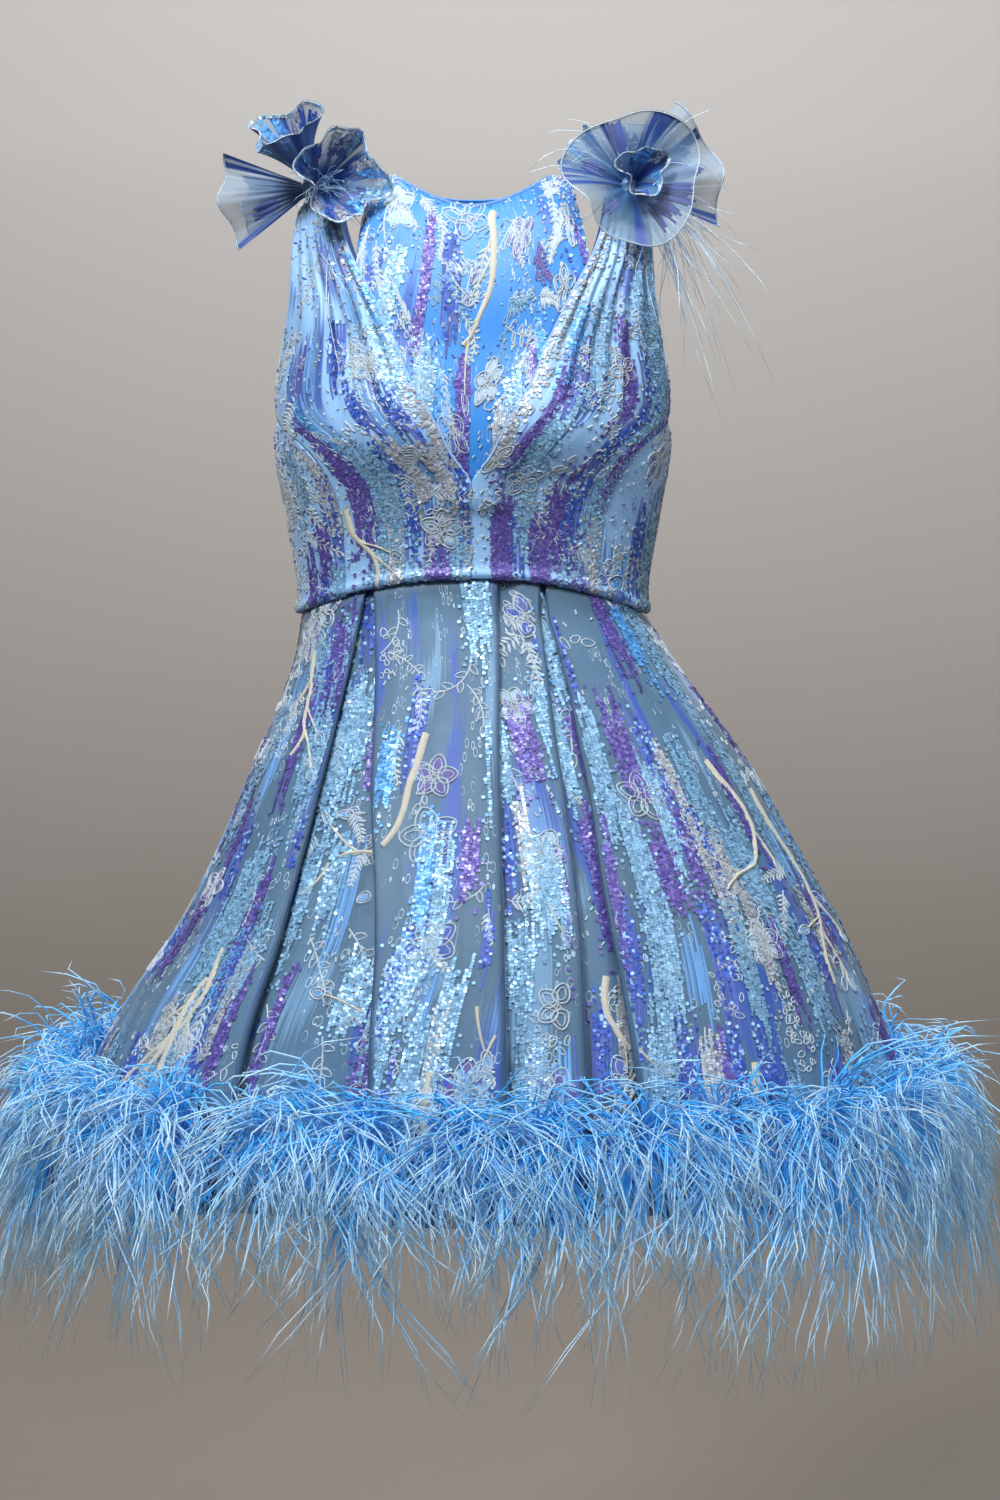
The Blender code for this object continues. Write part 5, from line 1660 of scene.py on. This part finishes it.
def rim_work(cloth, seed, beaded):
    """A corded rim on a petal, radiating stitches and, where it is beaded, sequins over it."""
    work = Needlework(cloth, seed)
    width = float(cloth.width_at(RIM_AT))
    rim = np.stack([np.linspace(0.0, width, 81), np.zeros(81)], axis=1)
    work.line((0.0, RIM_AT), rim, 0.0005, 0.0010, WHITE_THREAD)
    count = max(round(width / RIM_PACE), 3)
    for k in range(count):
        spot = ((k + work.chance.uniform(0.1, 0.9)) / count, work.chance.uniform(0.30, 0.45))
        tint = RIM_STITCHES[work.chance.integers(3)]
        if beaded or work.chance.random() < 0.30:
            size = work.chance.uniform(0.004, 0.011), work.chance.uniform(0.020, 0.036)
            work.strokes(spot, *size, tint, 0.0018)
        if beaded:
            colour = (AQUA, SILVER, COBALT, SKY)[work.chance.integers(4)]
            work.band((spot[0], 0.55), 0.0075, 0.024, colour, 0.3, 0.9)
    if beaded:
        u = np.linspace(0.0, 1.0, max(round(width / BEAD_PACE), 8))
        tints = np.array((SILVER, WHITE_THREAD, AQUA, SKY))[work.chance.integers(0, 4, len(u))]
        work.sequins.append((u, BEADS_AT + work.chance.normal(0, 0.008, len(u)), tints))
    return work


for seed, ((bow, name), cloth) in enumerate(PETALS.items()):
    rim_work(cloth, PETAL_SEED + seed, name in STREAKED).make(f"bow_{bow}_{name}", "bow_organza")

BRANCHES = (
    # anchor, way, length, twigs
    ((0.13, 0.60), 0.10, 0.15, 3),
    ((0.37, 0.26), -0.10, 0.17, 3),
    ((0.43, 0.64), 0.15, 0.13, 2),
    ((0.66, 0.64), -0.15, 0.14, 3),
)
FRONT_CELL, BACK_CELL = (0.056, 0.084), (0.064, 0.092)
BODICE_CELL, YOKE_CELL = (0.044, 0.062), (0.044, 0.052)
for seed, (node, cloth) in enumerate(SKIRTS.items()):
    work = Needlework(cloth, SKIRT_SEED + seed)
    in_front = node == "skirt_front"
    work.scatter(FRONT_CELL if in_front else BACK_CELL, SKIRT_WORK)
    for anchor, way, length, twigs in BRANCHES if in_front else ():
        work.vine(anchor, way, length, twigs)
        work.flower((anchor[0] + 0.012, anchor[1] + 0.16), 0.021)
    work.make(node, "embroidered_organza")

# How far down a cup its V edge ends, and how close that edge's columns of sequins are, from the edge in
V_SHARE = 0.745
V_CORD_AT = 0.004
V_SEQUINS = (0.95, 0.9, 0.75, 0.5, 0.25)
# Loose beads a square metre
BODICE_BEADS, YOKE_BEADS = 14000, 18000
YOKE_VINE_SEED = 4
SPRAY_GREY, SPRAY_BLUE = (0.16, 0.38, 0.56), (0.20, 0.42, 0.58)
YOKE_SPRAYS = (
    # u, v, way, length, tint, flowers
    (0.645, 0.16, -0.2, 0.040, WHITE_THREAD, 1),
    (0.600, 0.46, 0.3, 0.036, SPRAY_GREY, 0),
    (0.440, 0.30, 0.2, 0.038, SPRAY_BLUE, 0),
    (0.715, 0.40, -0.4, 0.034, AMETHYST, 0),
)


def v_edge(work, inner):
    """A cord and columns of silver sequins down a cup's edge on the V, which is its first or last column."""
    count = 81
    u, v = np.full(count, abs(inner - V_CORD_AT)), np.linspace(0.004, V_SHARE, count)
    work.lines.setdefault(count, []).append((u, v, np.full(count, 0.0011), 0.0016, PERIWINKLE))
    for c, closeness in enumerate(V_SEQUINS):
        v = np.arange(0.07, V_SHARE, SEQUIN_DOWN / work.cloth.length)
        v = v[work.chance.random(len(v)) < closeness * (0.35 + 0.65 * v / V_SHARE)]
        inwards = (c + 0.9) * SEQUIN_ACROSS + work.chance.normal(0, SEQUIN_STRAY, len(v))
        u = inner + (1 - 2 * inner) * inwards / work.cloth.width_at(v)
        work.sequins.append((u, v, np.array(SILVER) * work.chance.normal(0.85, 0.14, (len(v), 1))))


for seed, (node, cloth) in enumerate(BODICE.items()):
    work = Needlework(cloth, BODICE_SEED + seed, BODICE_KINDS)
    work.scatter(BODICE_CELL, BODICE_WORK)
    if "cup" in node:
        v_edge(work, 0 if "left" in node else 1)
    work.sprinkle(BODICE_BEADS)
    work.make(node, "embroidered_satin")

work = Needlework(YOKE, YOKE_SEED, YOKE_KINDS)
work.scatter(YOKE_CELL, YOKE_WORK)
work.chance = np.random.default_rng(YOKE_VINE_SEED)
work.vine((0.575, 0.06), -0.30, 0.105, 3)
for u, v, way, length, tint, flowers in YOKE_SPRAYS:
    work.fern((u, v), way, length, tint)
    work.sprig((u, v), way + 0.7, length * 0.8)
    work.sprig((u, v), way - 0.8, length * 0.9, tint)
    for _ in range(flowers):
        work.flower((u + 0.012, v + 0.10), length * 0.38)
work.sprinkle(YOKE_BEADS)
neck = np.stack([np.linspace(0.0, float(YOKE.widths[0]), 97), np.zeros(97)], axis=1)
work.line((0.0, 0.012), neck, 0.0014, 0.0016, SATIN_BLUE)
work.make("yoke_front", "satin")


# Stage, camera and lights

FLOOR_DEPTH = 1.40
FLOOR_Z = -FLOOR_DEPTH
# Floor colours painted darker than the wall: painted shade low down, as if light fell from above
SHADED_FLOOR_TAUPES = (0.19, 0.165, 0.14), (0.24, 0.21, 0.185)
WALL_TAUPE = (0.66, 0.64, 0.62)
STAGE_R = 6.0
COVE_R = 2.2
STAGE_TOP = 5.0
COVE_STEPS = 12
WORLD_LIGHT, WORLD_STRENGTH = (0.90, 0.94, 1.0, 1.0), 0.45
LENS, SENSOR = 66, 36
CAMERA_PLACE = (0.0216, -2.2, -0.29)
CAMERA_DOWN = 3.66


def stage():
    """A floor that sweeps up into a round backdrop."""
    bm = bmesh.new()
    profile = [(0.0, FLOOR_Z), (STAGE_R - COVE_R, FLOOR_Z)]
    for k in range(1, COVE_STEPS + 1):
        turn = math.pi / 2 * k / COVE_STEPS
        profile.append((STAGE_R - COVE_R + COVE_R * math.sin(turn), FLOOR_Z + COVE_R * (1 - math.cos(turn))))
    profile.append((STAGE_R, STAGE_TOP))
    verts = [bm.verts.new((x, 0.0, z)) for x, z in profile]
    edges = [bm.edges.new(pair) for pair in zip(verts, verts[1:])]
    bmesh.ops.spin(bm, geom=verts + edges, cent=(0, 0, 0), axis=(0, 0, 1), angle=2 * math.pi, steps=64,
                   use_merge=True)
    bmesh.ops.remove_doubles(bm, verts=bm.verts, dist=0.001)
    bmesh.ops.recalc_face_normals(bm, faces=bm.faces)
    bmesh.ops.reverse_faces(bm, faces=bm.faces)
    mesh = bpy.data.meshes.new("backdrop")
    bm.to_mesh(mesh)
    bm.free()
    paint = Finish("backdrop", {"Roughness": 0.9})
    grain = paint.grain(1.3, 0.0, 4.0)
    height = paint.node("SeparateXYZ", {}, {0: paint.on_piece("Object")}, 2)
    # The backdrop is painted darker low down and paler up the wall: painted shade, as if the light fell from
    # above.
    high = ((height + FLOOR_DEPTH) * 0.42).within()
    paint.set("Base Color", paint.mix(high, paint.mix(grain, *SHADED_FLOOR_TAUPES), WALL_TAUPE))
    mesh.materials.append(paint.material)
    mesh.shade_smooth()
    floor = added("backdrop", mesh)


def soft_light(name, place, target, size, power, cone):
    lamp = bpy.data.lights.new(name, "AREA")
    lamp.shape = "DISK"
    lamp.size = size
    lamp.energy = power
    lamp.spread = math.radians(cone)
    obj = added(name, lamp)
    obj.location = place
    obj.rotation_euler = (Vector(target) - Vector(place)).to_track_quat("-Z", "Y").to_euler()


stage()
soft_light("key", (-1.0, -2.1, 1.9), (0.0, 0.0, -0.16), 0.9, 24, 90)
soft_light("fill", (1.9, -2.4, 1.3), (0.0, 0.0, -0.35), 1.2, 9, 100)
soft_light("top", (0.1, -0.9, 2.2), (0.0, 0.0, -0.20), 0.7, 9, 80)
soft_light("back", (-0.8, 2.6, 1.8), (0.0, 0.0, -0.35), 1.4, 20, 120)
soft_light("wall", (0.0, 2.2, 3.6), (0.0, 6.0, 0.6), 2.0, 92, 140)

world = bpy.data.worlds.new("studio")
world.use_nodes = True
world.node_tree.nodes["Background"].inputs["Color"].default_value = WORLD_LIGHT
world.node_tree.nodes["Background"].inputs["Strength"].default_value = WORLD_STRENGTH
bpy.context.scene.world = world
bpy.context.scene.view_settings.view_transform = "Standard"

camera = added("camera", bpy.data.cameras.new("camera"))
camera.data.lens = LENS
camera.data.sensor_width = SENSOR
camera.location = CAMERA_PLACE
camera.rotation_euler = (math.radians(90.0 - CAMERA_DOWN), 0, 0)
bpy.context.scene.camera = camera
